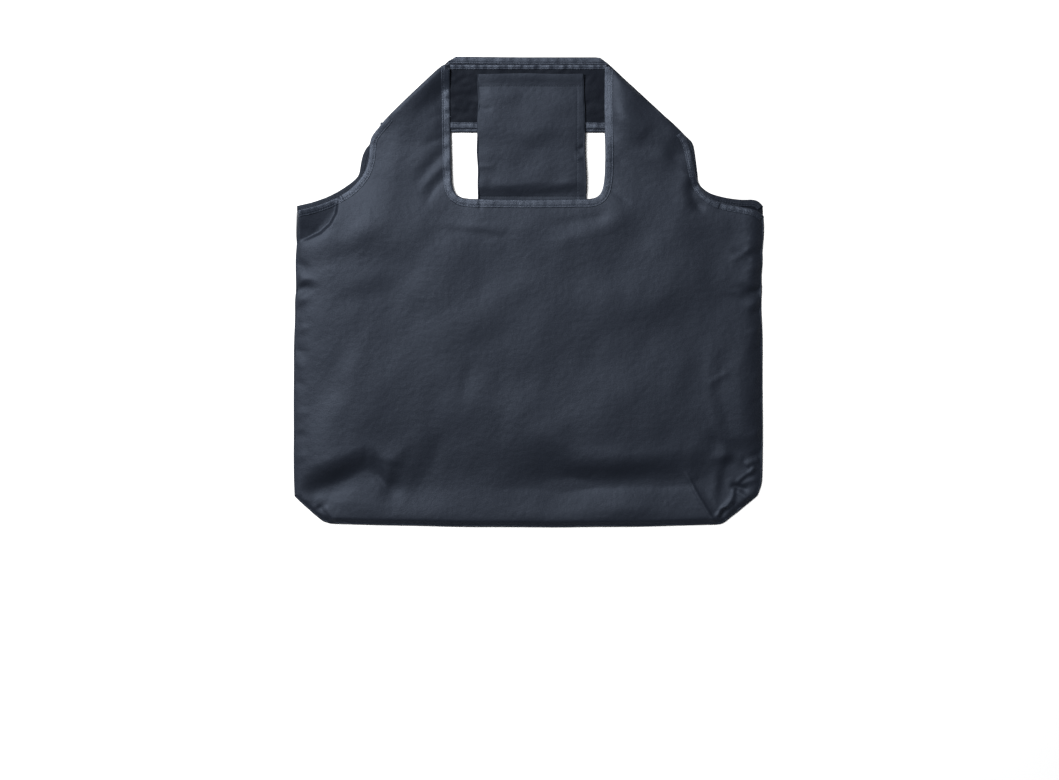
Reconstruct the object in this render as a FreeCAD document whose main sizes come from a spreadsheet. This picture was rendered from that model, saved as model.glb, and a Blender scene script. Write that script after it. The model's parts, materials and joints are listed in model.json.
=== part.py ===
import FreeCAD, Part
import os
import Sketcher

# Foldable tote bag, lying flat with both handles folded in.
# +X runs across the bag, +Y from the base to the handles, +Z up through the
# layers.  The origin is under the middle of the bag, on the resting face.
# Lengths are in millimetres.

doc = FreeCAD.newDocument("FoldableTote")
sheet = doc.addObject("Spreadsheet::Sheet", "Sizes")
VALUES = {}


def cell(alias, value):
    row = len(VALUES) + 1
    sheet.set("A%d" % row, alias.replace("_", " "))
    sheet.set("B%d" % row, "%.3f" % value)
    sheet.setAlias("B%d" % row, alias)
    VALUES[alias] = value


class Size:
    """A length together with the sheet expression that gives it."""

    def __init__(self, value, text):
        self.value, self.text = value, text

    def __add__(self, other):
        o = size(other)
        return Size(self.value + o.value, "%s + %s" % (self.text, o.text))

    def __sub__(self, other):
        o = size(other)
        return Size(self.value - o.value, "%s - (%s)" % (self.text, o.text))

    def __mul__(self, k):
        return Size(self.value * k, "(%s) * %.5f" % (self.text, k))

    def __neg__(self):
        return self * -1.0


def size(v):
    if isinstance(v, Size):
        return v
    if isinstance(v, str):
        return Size(VALUES[v], "Sizes." + v)
    return Size(float(v), "(%.4f)" % v)


# --- driving sizes ---------------------------------------------------------
for alias, value in [
    ("half_width", 241.6),       # side seam to middle
    ("bottom_y", -242.0),        # lowest point of the base
    ("body_fold_y", -78.0),      # crease the body folds over at
    ("mouth_hinge_y", -58.0),    # line the front lifts about when it opens
    ("mouth_y", 94.2),           # mouth edge
    ("handle_y", 94.7),          # line the handles turn about
    ("side_top_left", 80.0),     # top of the left side seam
    ("side_top_right", 78.0),    # top of the right side seam
    ("strap_in_left", -80.4),    # inner edges of the straps
    ("strap_in_right", 79.7),
    ("tape_w", 7.8),             # folded binding tape
    ("arm_tape_w", 6.2),
    ("seam_w", 5.0),             # side seam allowance
    ("gap", 0.5),                # half the space left at a fold line
    ("sheet_t", 1.0),            # a fabric layer
    ("tape_t", 1.4),             # a bound edge
    ("front_z", 8.0),            # underside of the front layer
    ("wall_z", 7.7),             # top of the side walls under the mouth
    ("back_bar_z", 2.05),        # the back handle's folded bar
    ("front_bar_z", 3.75),       # the front handle's folded bar
    ("bar_t", 0.8),
    ("bar_tape_drop", 0.25),
    ("back_bar_low", 164.8), ("back_bar_high", 242.0),
    ("front_bar_low", 166.5), ("front_bar_high", 233.3),
    ("bar_tape_w", 7.6),
    ("fold_wall", 1.4),
    ("pouch_left", -52.6), ("pouch_right", 58.1),
    ("pouch_low", 95.2), ("pouch_high", 224.0),
    ("pouch_z", 5.2), ("pouch_t", 0.6), ("pouch_front_z", 10.4),
    ("pouch_seam_w", 6.0), ("pouch_hem_w", 12.0),
    ("join_w", 9.0),
]:
    cell(alias, value)

CURVES = {
    # armholes, from the side seam to the top of the strap
    "front_arm_left": [(-241.6, 80.0), (-228.2, 84.6), (-216.9, 87.4), (-205.6, 91.6), (-200.7, 94.2),
                       (-198.0, 95.2), (-191.5, 98.6), (-181.9, 105.6), (-173.1, 114.8), (-167.5, 124.1),
                       (-164.4, 134.4), (-162.8, 150.0), (-158.5, 166.5)],
    "front_arm_right": [(241.6, 78.0), (233.2, 83.9), (217.7, 87.0), (197.1, 90.6), (190.0, 94.2),
                        (187.6, 95.2), (182.8, 98.6), (177.6, 104.0), (173.0, 114.0), (170.6, 124.0),
                        (168.6, 134.0), (164.6, 151.0), (156.5, 166.5)],
    "back_arm_left": [(-241.6, 80.0), (-238.5, 86.6), (-229.0, 88.9), (-215.0, 92.0), (-209.0, 94.2),
                      (-206.5, 95.2), (-199.0, 99.6), (-187.0, 107.8), (-177.8, 114.8), (-172.4, 123.0),
                      (-170.6, 134.4), (-167.4, 148.0), (-160.5, 164.8)],
    "back_arm_right": [(241.6, 78.0), (240.4, 86.0), (232.0, 91.2), (222.0, 92.6), (212.0, 94.2),
                       (207.0, 95.2), (198.0, 97.6), (186.8, 101.0), (177.0, 108.0), (173.6, 119.0),
                       (171.2, 134.0), (167.4, 151.0), (158.8, 164.8)],
    # the base, from the left side round to the right side
    "base": [(-241.6, -209.5), (-227.2, -222.6), (-209.0, -238.8), (-150.0, -241.4), (-68.0, -242.0),
             (112.0, -242.0), (199.0, -239.6), (215.7, -226.1), (236.5, -208.5), (241.6, -197.0)],
}
for key, pts in CURVES.items():
    for i, (px, py) in enumerate(pts):
        cell("%s_x%d" % (key, i), px)
        cell("%s_y%d" % (key, i), py)
doc.recompute()


def curve(key, first=0, last=None):
    n = len(CURVES[key])
    last = n - 1 if last is None else last
    return [(size("%s_x%d" % (key, i)), size("%s_y%d" % (key, i))) for i in range(first, last + 1)]


def inset(pts, width, side, keep_ends=(None, None)):
    """The same line moved sideways by a sheet width; side +1 is to its left.
    keep_ends holds how an end is cut: 'x' straight down the side seam, 'y' level."""
    out = []
    for i, (x, y) in enumerate(pts):
        a, b = pts[max(i - 1, 0)], pts[min(i + 1, len(pts) - 1)]
        dx, dy = b[0].value - a[0].value, b[1].value - a[1].value
        ln = (dx * dx + dy * dy) ** 0.5
        nx, ny = -dy / ln * side, dx / ln * side
        end = keep_ends[0] if i == 0 else keep_ends[1] if i == len(pts) - 1 else None
        if end == "x":
            out.append((x, y - size(width) * 1.1))
        elif end == "y":
            out.append((x + size(width) * (1.0 / nx), y))
        else:
            out.append((x + size(width) * nx, y + size(width) * ny))
    return out


parts = {}


def plate(label, pts, low, thick):
    """Adds one flat layer to the piece: a closed outline padded up from a height."""
    new = label not in parts
    if new:
        parts[label] = doc.addObject("PartDesign::Body", "Body_" + label)
        parts[label].Label = label
    body = parts[label]
    number = len([o for o in body.Group if o.TypeId == "PartDesign::Pad"])
    sk = body.newObject("Sketcher::SketchObject", "Outline_%s_%d" % (label, number))
    plane = [o for o in body.Origin.OriginFeatures if o.Role == "XY_Plane"][0]
    sk.AttachmentSupport = (plane, [""])
    sk.MapMode = "FlatFace"
    pts = [(size(x), size(y)) for x, y in pts]
    n = len(pts)
    vec = [FreeCAD.Vector(x.value, y.value, 0) for x, y in pts]
    sk.addGeometry([Part.LineSegment(vec[i], vec[(i + 1) % n]) for i in range(n)], False)
    cons = [Sketcher.Constraint("Coincident", i, 2, (i + 1) % n, 1) for i in range(n)]
    for i in range(n):
        cons.append(Sketcher.Constraint("DistanceX", -1, 1, i, 1, vec[i].x))
        cons.append(Sketcher.Constraint("DistanceY", -1, 1, i, 1, vec[i].y))
    sk.addConstraint(cons)
    for i, (x, y) in enumerate(pts):
        sk.setExpression("Constraints[%d]" % (n + 2 * i), x.text)
        sk.setExpression("Constraints[%d]" % (n + 2 * i + 1), y.text)
    low, thick = size(low), size(thick)
    sk.AttachmentOffset = FreeCAD.Placement(FreeCAD.Vector(0, 0, low.value), FreeCAD.Rotation())
    sk.setExpression("AttachmentOffset.Base.z", low.text)
    pad = body.newObject("PartDesign::Pad", "Pad_%s_%d" % (label, number))
    pad.Profile = sk
    pad.Length = thick.value
    pad.setExpression("Length", thick.text)
    body.Tip = pad
    return body


def strip(label, line, width, side, low, thick, ends=(None, None)):
    """A band of constant width along one side of an open line."""
    inner = inset(line, width, side, ends)
    plate(label, list(line) + list(reversed(inner)), low, thick)


W, MOUTH, TURN = size("half_width"), size("mouth_y"), size("handle_y")
GAP, T, TAPE = size("gap"), size("sheet_t"), size("tape_t")
FOLD, LIFT = size("body_fold_y"), size("mouth_hinge_y")
SL, SR = size("strap_in_left"), size("strap_in_right")
TW, SEAM = size("tape_w"), size("seam_w")
FZ, BZ = size("front_z"), size(0.0)

# --- panels above the body fold --------------------------------------------
for face, z, low in (("back", BZ, FOLD + GAP), ("front", FZ, LIFT + GAP)):
    left = curve(face + "_arm_left", 0, 4)
    right = curve(face + "_arm_right", 0, 4)
    lin = inset(left, "arm_tape_w", -1, ("x", "y"))
    rin = inset(right, "arm_tape_w", 1, ("x", "y"))
    outline = [(-W, low)] + lin + [(SL, MOUTH), (SL, MOUTH - TW), (SR, MOUTH - TW), (SR, MOUTH)]
    outline += list(reversed(rin)) + [(W, low)]
    plate(face + "_panel_upper", outline, z, T)
    plate(face + "_left_armhole_binding", left + list(reversed(lin)), z, TAPE)
    plate(face + "_right_armhole_binding", right + list(reversed(rin)), z, TAPE)
    plate(face + "_mouth_binding", [(SL, MOUTH - TW), (SR, MOUTH - TW), (SR, MOUTH), (SL, MOUTH)], z, TAPE)

plate("front_panel_middle", [(-W, FOLD + GAP), (W, FOLD + GAP), (W, LIFT - GAP), (-W, LIFT - GAP)], FZ, T)

for name, s, top in (("left", -1.0, "side_top_left"), ("right", 1.0, "side_top_right")):
    a, b = W * s, (W - SEAM) * s
    xs = (a, b) if s < 0 else (b, a)
    label = name + "_side_seam_upper"
    end = size(top) - TW  # stops short of the armhole's binding
    plate(label, [(xs[0], FOLD + GAP), (xs[1], FOLD + GAP), (xs[1], end), (xs[0], end)], T, size("wall_z") - T)
    plate(label, [(xs[0], FOLD + GAP), (xs[1], FOLD + GAP), (xs[1], LIFT - GAP), (xs[0], LIFT - GAP)],
          size("wall_z") - 0.2, FZ - size("wall_z") + 0.2)

# --- the part below the body fold ------------------------------------------
base = curve("base")
LOWTOP = FOLD - GAP
lower = [(-W, LOWTOP)] + base + [(W, LOWTOP)]
plate("back_panel_lower", lower, BZ, T)
plate("front_panel_lower", lower, FZ, T)
WALL = FZ - T
plate("left_side_seam_lower", [(-W, LOWTOP), (-W, base[0][1]), (-W + SEAM, base[0][1]), (-W + SEAM, LOWTOP)], T, WALL)
plate("right_side_seam_lower", [(W - SEAM, LOWTOP), (W - SEAM, base[9][1]), (W, base[9][1]), (W, LOWTOP)], T, WALL)
inner = inset(base, "seam_w", 1)
inner[0] = (base[0][0] + SEAM, base[0][1])
inner[9] = (base[9][0] - SEAM, base[9][1])
plate("left_corner_seam", base[0:3] + list(reversed(inner[0:3])), T, WALL)
plate("base_bottom_seam", base[2:7] + list(reversed(inner[2:7])), T, WALL)
plate("right_corner_seam", base[6:10] + list(reversed(inner[6:10])), T, WALL)

# --- handles: two straps folded inwards over 45 degrees into one bar --------
BT, DROP, BTW, FW = size("bar_t"), size("bar_tape_drop"), size("bar_tape_w"), size("fold_wall")
BAR_TAPE = BT + DROP + DROP
for key, value in (("front_left", -87.9), ("front_right", 84.0), ("back_left", -81.5), ("back_right", 80.2)):
    cell("fold_top_" + key, value)  # where each fold meets the bar's top edge
doc.recompute()
for face, z in (("front", FZ), ("back", BZ)):
    barz, low, high = size(face + "_bar_z"), size(face + "_bar_low"), size(face + "_bar_high")
    ends = {}
    for side, inx, sgn in (("left", SL, 1.0), ("right", SR, -1.0)):
        arm = curve("%s_arm_%s" % (face, side), 5)
        arm_in = inset(arm, "arm_tape_w", -sgn, ("y", None))
        arm_in = arm_in[:1] + [p for p in arm_in[1:] if p[1].value > arm_in[0][1].value + 1.0]
        top = size("fold_top_%s_%s" % (face, side))
        x0, y0 = arm[-1]
        slope = (high.value - y0.value) / (top.value - x0.value)
        run = BTW * (1.0 / slope)
        tape_in = inx - TW * sgn
        tape_y = high + (tape_in - top) * slope
        tip_x = arm_in[-1][0]
        arm_in[-1] = (tip_x, y0 + (tip_x - x0) * slope)
        root = [(inx + 10.5 * sgn, TURN + GAP), (inx + 3.0 * sgn, TURN + 6.0), (inx, TURN + 18.0)]
        root_in = [(x - TW * sgn, y) for x, y in root]
        label = "%s_%s_strap" % (face, side)
        plate(label, arm_in + [(tape_in, tape_y)] + list(reversed(root_in)), z, T)
        wall = [(x0 + run, low + BTW), (top - run, high - BTW),
                (top - run + FW * sgn, high - BTW), (x0 + run + FW * sgn, low + BTW)]
        if face == "front":
            plate(label, wall, barz, z + T - barz)
        else:
            plate(label, wall, BZ, barz + BT)
        half = -size("join_w") * (0.5 * sgn)
        plate(label, [(x0 + run, low + BTW), (half, low + BTW), (half, high - BTW), (top - run, high - BTW)], barz, BT)
        ends[side] = dict(arm=arm, arm_in=arm_in, top=top, x0=x0, y0=y0, run=run, inx=inx, tape_in=tape_in,
                          tape_y=tape_y, root=root, root_in=root_in, tip=arm_in[-1])
    l, r = ends["left"], ends["right"]
    # the tape along the hole side of the straps, which runs on along the bar's top edge
    label = face + "_handle_inner_binding"
    for e in (l, r):
        pts = e["root"] + [(e["inx"], high), (e["top"], high), (e["tape_in"], e["tape_y"])] + list(reversed(e["root_in"]))
        block = [(e["inx"], high - BTW), (e["inx"], high), (e["top"], high), (e["tape_in"], e["tape_y"]),
                 (e["tape_in"], high - BTW)]
        span = [(l["top"] - l["run"], high - BTW), (r["top"] - r["run"], high - BTW), (r["top"], high), (l["top"], high)]
        strap = (pts, z, TAPE)
        if face == "front":
            link = (block, barz - DROP, z + TAPE - barz + DROP)
        else:
            link = (block, BZ, barz + BT + DROP)
        bar = (span, barz - DROP, BAR_TAPE)
        for piece in ((strap, link, bar) if e is l else (link, strap)):
            plate(label, *piece)
    # the tape along the armhole side, which runs on along the bar's bottom edge
    label = face + "_handle_outer_binding"
    for e in (l, r):
        strap = (e["arm"] + list(reversed(e["arm_in"])), z, TAPE)
        block = [(e["x0"], e["y0"]), (e["tip"][0], e["y0"]), e["tip"]]
        if face == "front":
            link = (block, barz - DROP, z - barz + DROP)
        else:
            link = (block, TAPE, barz - TAPE + BT)
        span = [(l["x0"], low), (r["x0"], low), (r["x0"] + r["run"], low + BTW), (l["x0"] + l["run"], low + BTW)]
        bar = (span, barz - DROP, BAR_TAPE)
        for piece in ((strap, link, bar) if e is l else (link, strap)):
            plate(label, *piece)
    half = size("join_w") * 0.5
    plate(face + "_handle_join_seam", [(-half, low + BTW), (half, low + BTW), (half, high - BTW), (-half, high - BTW)],
          barz - DROP * 0.4, BT + DROP * 0.8)

# --- pouch, sewn by its bottom behind the mouth edge ------------------------
PL, PR, PLO, PHI = size("pouch_left"), size("pouch_right"), size("pouch_low"), size("pouch_high")
PZ, PT, PFZ, PS, PH = size("pouch_z"), size("pouch_t"), size("pouch_front_z"), size("pouch_seam_w"), size("pouch_hem_w")


def rect(x0, y0, x1, y1):
    return [(x0, y0), (x1, y0), (x1, y1), (x0, y1)]


plate("pouch_back_panel", rect(PL, PLO, PR, PHI - PH), PZ, PT)
plate("pouch_back_hem", rect(PL, PHI - PH, PR, PHI), PZ, PT + 0.2)
seam_top = PFZ - 0.4
plate("pouch_left_seam", rect(PL, PLO, PL + PS, PHI - PH), PZ + PT, seam_top - PZ - PT)
plate("pouch_right_seam", rect(PR - PS, PLO, PR, PHI - PH), PZ + PT, seam_top - PZ - PT)
plate("pouch_bottom_seam", rect(PL + PS, PLO, PR - PS, PLO + PS), PZ + PT, seam_top - PZ - PT)
plate("pouch_front_panel", rect(PL, PLO + 0.4, PR, PHI - PH), PFZ, PT - 0.1)
plate("pouch_front_hem", rect(PL, PHI - PH, PR, PHI), PFZ - 0.15, PT + 0.15)
plate("pouch_seam_tab", rect(PL + 1.0, MOUTH - 13.0, PR - 1.0, MOUTH), FZ - 0.9, 0.9)

doc.recompute()

# --- checks, then one file for each piece ----------------------------------
bad = [o.Name for o in doc.Objects if "Invalid" in o.State or "Error" in o.State]
if bad:
    raise SystemExit("failed: %s" % bad)
for label, body in parts.items():
    shape = body.Shape
    if shape.isNull() or not shape.isValid() or shape.Volume <= 0:
        raise SystemExit("no valid shape: " + label)
    if len(shape.Solids) != 1:
        raise SystemExit("%s has %d solids: %s" % (label, len(shape.Solids), [str(s.BoundBox) for s in shape.Solids]))
os.makedirs("parts", exist_ok=True)
for label, body in parts.items():
    body.Shape.exportStep("parts/%s.step" % label)
box = FreeCAD.BoundBox()
for body in parts.values():
    box.add(body.Shape.BoundBox)
print(len(parts), "pieces; box", box)
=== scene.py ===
import json
import math

import bpy
import numpy as np
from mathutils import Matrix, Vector
from mathutils.geometry import delaunay_2d_cdt

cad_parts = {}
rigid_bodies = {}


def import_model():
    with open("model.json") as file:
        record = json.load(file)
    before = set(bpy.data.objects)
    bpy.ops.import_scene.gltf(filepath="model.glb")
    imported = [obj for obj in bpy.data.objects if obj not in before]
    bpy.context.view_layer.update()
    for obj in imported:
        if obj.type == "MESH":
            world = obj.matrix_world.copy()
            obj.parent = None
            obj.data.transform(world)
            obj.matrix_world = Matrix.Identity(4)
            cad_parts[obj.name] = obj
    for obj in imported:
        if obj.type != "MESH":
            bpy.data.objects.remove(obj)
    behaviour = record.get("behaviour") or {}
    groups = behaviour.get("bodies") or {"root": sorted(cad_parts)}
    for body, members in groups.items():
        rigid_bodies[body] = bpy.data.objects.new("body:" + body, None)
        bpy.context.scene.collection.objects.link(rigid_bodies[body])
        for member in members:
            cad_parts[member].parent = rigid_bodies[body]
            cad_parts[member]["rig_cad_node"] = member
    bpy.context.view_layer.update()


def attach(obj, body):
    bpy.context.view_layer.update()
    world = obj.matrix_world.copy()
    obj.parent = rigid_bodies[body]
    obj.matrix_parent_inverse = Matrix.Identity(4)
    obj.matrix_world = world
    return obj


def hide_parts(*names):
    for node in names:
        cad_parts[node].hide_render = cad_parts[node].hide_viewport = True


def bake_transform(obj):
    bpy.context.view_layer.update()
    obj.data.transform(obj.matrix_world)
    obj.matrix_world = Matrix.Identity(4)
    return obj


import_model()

# ---------------------------------------------------------------------------
# Layout units: one unit is 1.03 mm, x to the right, y down, as seen from above.
# ---------------------------------------------------------------------------
UNIT = 1.03e-3
X0, Y0 = 528.6, 291.5


def to_m(p):
    p = np.asarray(p, float)
    return np.stack([(p[..., 0] - X0) * UNIT, (Y0 - p[..., 1]) * UNIT], -1)


def smooth01(a, b, v):
    t = np.clip((np.asarray(v, float) - a) / (b - a), 0, 1)
    return t * t * (3 - 2 * t)


def rounded(pts, step=1.9, passes=2):
    """A polyline rounded by corner cutting (its ends stay), sampled at an even step."""
    p = np.asarray(pts, float)
    for _ in range(passes):
        q = np.empty((2 * len(p) - 2, 2))
        q[0::2] = 0.75 * p[:-1] + 0.25 * p[1:]
        q[1::2] = 0.25 * p[:-1] + 0.75 * p[1:]
        p = np.vstack([p[:1], q, p[-1:]])
    return even(p, step)


def even(p, step):
    p = np.asarray(p, float)
    ln = np.r_[0, np.cumsum(np.linalg.norm(np.diff(p, axis=0), axis=1))]
    n = max(int(round(ln[-1] / step)), 1)
    t = np.linspace(0, ln[-1], n + 1)
    return np.stack([np.interp(t, ln, p[:, i]) for i in range(p.shape[1])], 1)


def near(x, y, line):
    """Distance to a polyline, how far along it (0 to 1) and the side (+1 is to its left as drawn)."""
    line = np.asarray(line, float)
    a, b = line[:-1], line[1:]
    seg = b - a
    ln = np.linalg.norm(seg, axis=1)
    before = np.r_[0, np.cumsum(ln)]
    best = np.full(x.shape, 1e18)
    along = np.zeros(x.shape)
    side = np.ones(x.shape)
    for i in range(len(a)):
        if ln[i] < 1e-9:
            continue
        px, py = x - a[i, 0], y - a[i, 1]
        t = np.clip((px * seg[i, 0] + py * seg[i, 1]) / ln[i] ** 2, 0, 1)
        d = (px - t * seg[i, 0]) ** 2 + (py - t * seg[i, 1]) ** 2
        m = d < best
        best = np.where(m, d, best)
        along = np.where(m, (before[i] + t * ln[i]) / before[-1], along)
        side = np.where(m, np.sign(seg[i, 1] * px - seg[i, 0] * py + 1e-12), side)
    return np.sqrt(best), along, side


def fold(x, y, pts, high, left, right, power=2.0, ends=(0.2, 0.2)):
    """A ridge (high > 0) or valley along a line, with its own width on each side, in mm."""
    d, t, s = near(x, y, rounded(pts, 4.0, 2) if len(pts) > 2 else pts)
    w = np.where(s > 0, left, right)
    shape = np.exp(-((d / w) ** power))
    e0 = smooth01(0, ends[0], t) if ends[0] > 0 else 1.0
    e1 = smooth01(0, ends[1], 1 - t) if ends[1] > 0 else 1.0
    return high * shape * e0 * e1


def blob(x, y, cx, cy, rx, ry, high, turn=0.0, power=2.0):
    c, s = math.cos(math.radians(turn)), math.sin(math.radians(turn))
    u, v = (x - cx) * c + (y - cy) * s, -(x - cx) * s + (y - cy) * c
    return high * np.exp(-(((u / rx) ** 2 + (v / ry) ** 2) ** (power / 2)))


def lean(x, y, cx, cy, rx, ry, degrees, turn=0.0):
    """A soft patch that leans to the lower right (degrees > 0) or to the upper left, in mm."""
    c, q = math.cos(math.radians(turn)), math.sin(math.radians(turn))
    ax = (-q, c) if rx > 1.6 * ry else (c, q) if ry > 1.6 * rx else (-0.67, -0.74)
    up = 1.0 if -0.67 * ax[0] - 0.74 * ax[1] > 0 else -1.0
    s = ((x - cx) * ax[0] + (y - cy) * ax[1]) * up * 1.03
    return math.tan(math.radians(degrees)) * s * blob(x, y, cx, cy, rx, ry, 1.0, turn)


def noise(x, y, size, seed, stretch=(1.0, 1.0), turn=0.0):
    """A smooth random field, mostly within -1 to 1, with no grid in it."""
    r = np.random.default_rng(seed)
    c, s = math.cos(math.radians(turn)), math.sin(math.radians(turn))
    u, v = (x * c + y * s) / (size * stretch[0]), (-x * s + y * c) / (size * stretch[1])
    total = np.zeros(np.shape(x))
    count = 22
    for k in range(count):
        way, phase, wave = (k + r.uniform(0, 1)) * math.pi / count, r.uniform(0, 2 * math.pi), 2.0 * r.uniform(0.75, 1.6)
        total = total + np.cos(2 * math.pi * (u * math.cos(way) + v * math.sin(way)) / wave + phase)
    return total * 0.44 * math.sqrt(2.0 / count)


# ---------------------------------------------------------------------------
# Outlines
# ---------------------------------------------------------------------------
ARM_L = [(297, 212), (307, 209.5), (318, 206.5), (329, 202), (341, 196.5), (352, 189), (360.5, 180), (366, 171),
         (369, 161), (370, 152), (370.5, 144), (372, 137.5), (377, 131)]
ARM_R = [(763, 216), (755, 210.5), (740, 207.5), (720, 204), (707, 197.5), (698.5, 187), (695, 176), (692.5, 163),
         (689.5, 148), (686, 139), (681, 132.5)]
DIAG_L = [(377, 131), (389, 117.5), (402, 105), (421, 87), (438, 71), (446, 64.5)]
DIAG_R = [(609, 66.5), (620, 77), (648, 102.5), (676, 128), (681, 132.5)]
HOLE_L = [(449.5, 64.5), (449.3, 90), (450, 134), (450.3, 176), (451.5, 187), (454.5, 194), (461, 198.8), (470, 200)]
HOLE_R = [(590, 200), (597, 198.6), (601.5, 194), (604, 187), (605.5, 176), (606, 150), (605.3, 134), (604.6, 100),
          (605.5, 66.5)]
MOUTH = [(470, 200), (500, 200.6), (530, 200.8), (560, 200.5), (590, 200)]
SIDE_L = [(295, 496), (294.3, 480), (294, 455), (294.2, 435), (294, 400), (294.3, 370), (294.2, 345), (295.5, 318), (295.2, 300),
          (296.6, 290), (295.8, 262), (296.6, 250), (297.2, 243), (296.4, 236), (297, 212)]
SIDE_R = [(763, 216), (763.6, 232), (761.8, 250), (762.2, 262), (760.8, 276), (761.6, 290), (760.6, 302), (761.2, 318),
          (762.2, 340), (761.8, 380), (762.4, 430), (762, 475), (761, 485), (757, 495)]
BASE = [(757, 495), (752.5, 499), (745, 505), (738, 511), (730, 517), (724, 522), (719, 524), (703, 524.3), (670, 525.2),
        (637, 526.2), (590, 526.3), (560, 526.8), (510, 526.4), (462, 526.4), (420, 525.2), (380, 524.6), (345, 523.6), (326, 523),
        (315, 514.5), (308, 508), (301, 502), (295, 496)]
B_ARM_L = [(297, 206.5), (313, 203), (329.5, 197), (344, 189), (356, 180), (360.2, 174), (361.4, 163), (364, 153.5),
           (367, 148), (370.5, 144.5), (372.5, 136)]
B_ARM_R = [(762.6, 207), (760, 203.5), (755, 200), (741, 200.6), (725, 198.4), (710, 194.4), (701, 188), (697.2, 182), (697, 176),
           (696, 168), (694.5, 156), (693, 146), (690, 140), (684.5, 135)]
B_DIAG_L = [(372.5, 136), (388, 119), (420, 88.5), (447, 62.5), (453.5, 58.3)]
B_DIAG_R = [(601.0, 58.6), (610, 66), (620, 75.5), (650, 103), (676, 127), (684.5, 135)]
FRONT_BAR_Y = (65.3, 128.8)
BACK_BAR_Y = (57.4, 131.8)
POUCH = dict(x0=477.6, x1=585.0, y0=74.5, y1=201.0)
LIFT_Y = Y0 + 58.0 / 1.03       # the line the front opens about
FOLD_Y = Y0 + 78.0 / 1.03
STRAP_Y = 213.8                 # where a strap's own piece of cloth starts


# ---------------------------------------------------------------------------
# The sculpted height of each layer, in mm
# ---------------------------------------------------------------------------
CLOSED = [rounded(SIDE_L, 3), rounded(SIDE_R, 3), rounded(BASE, 3, 1)]


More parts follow.
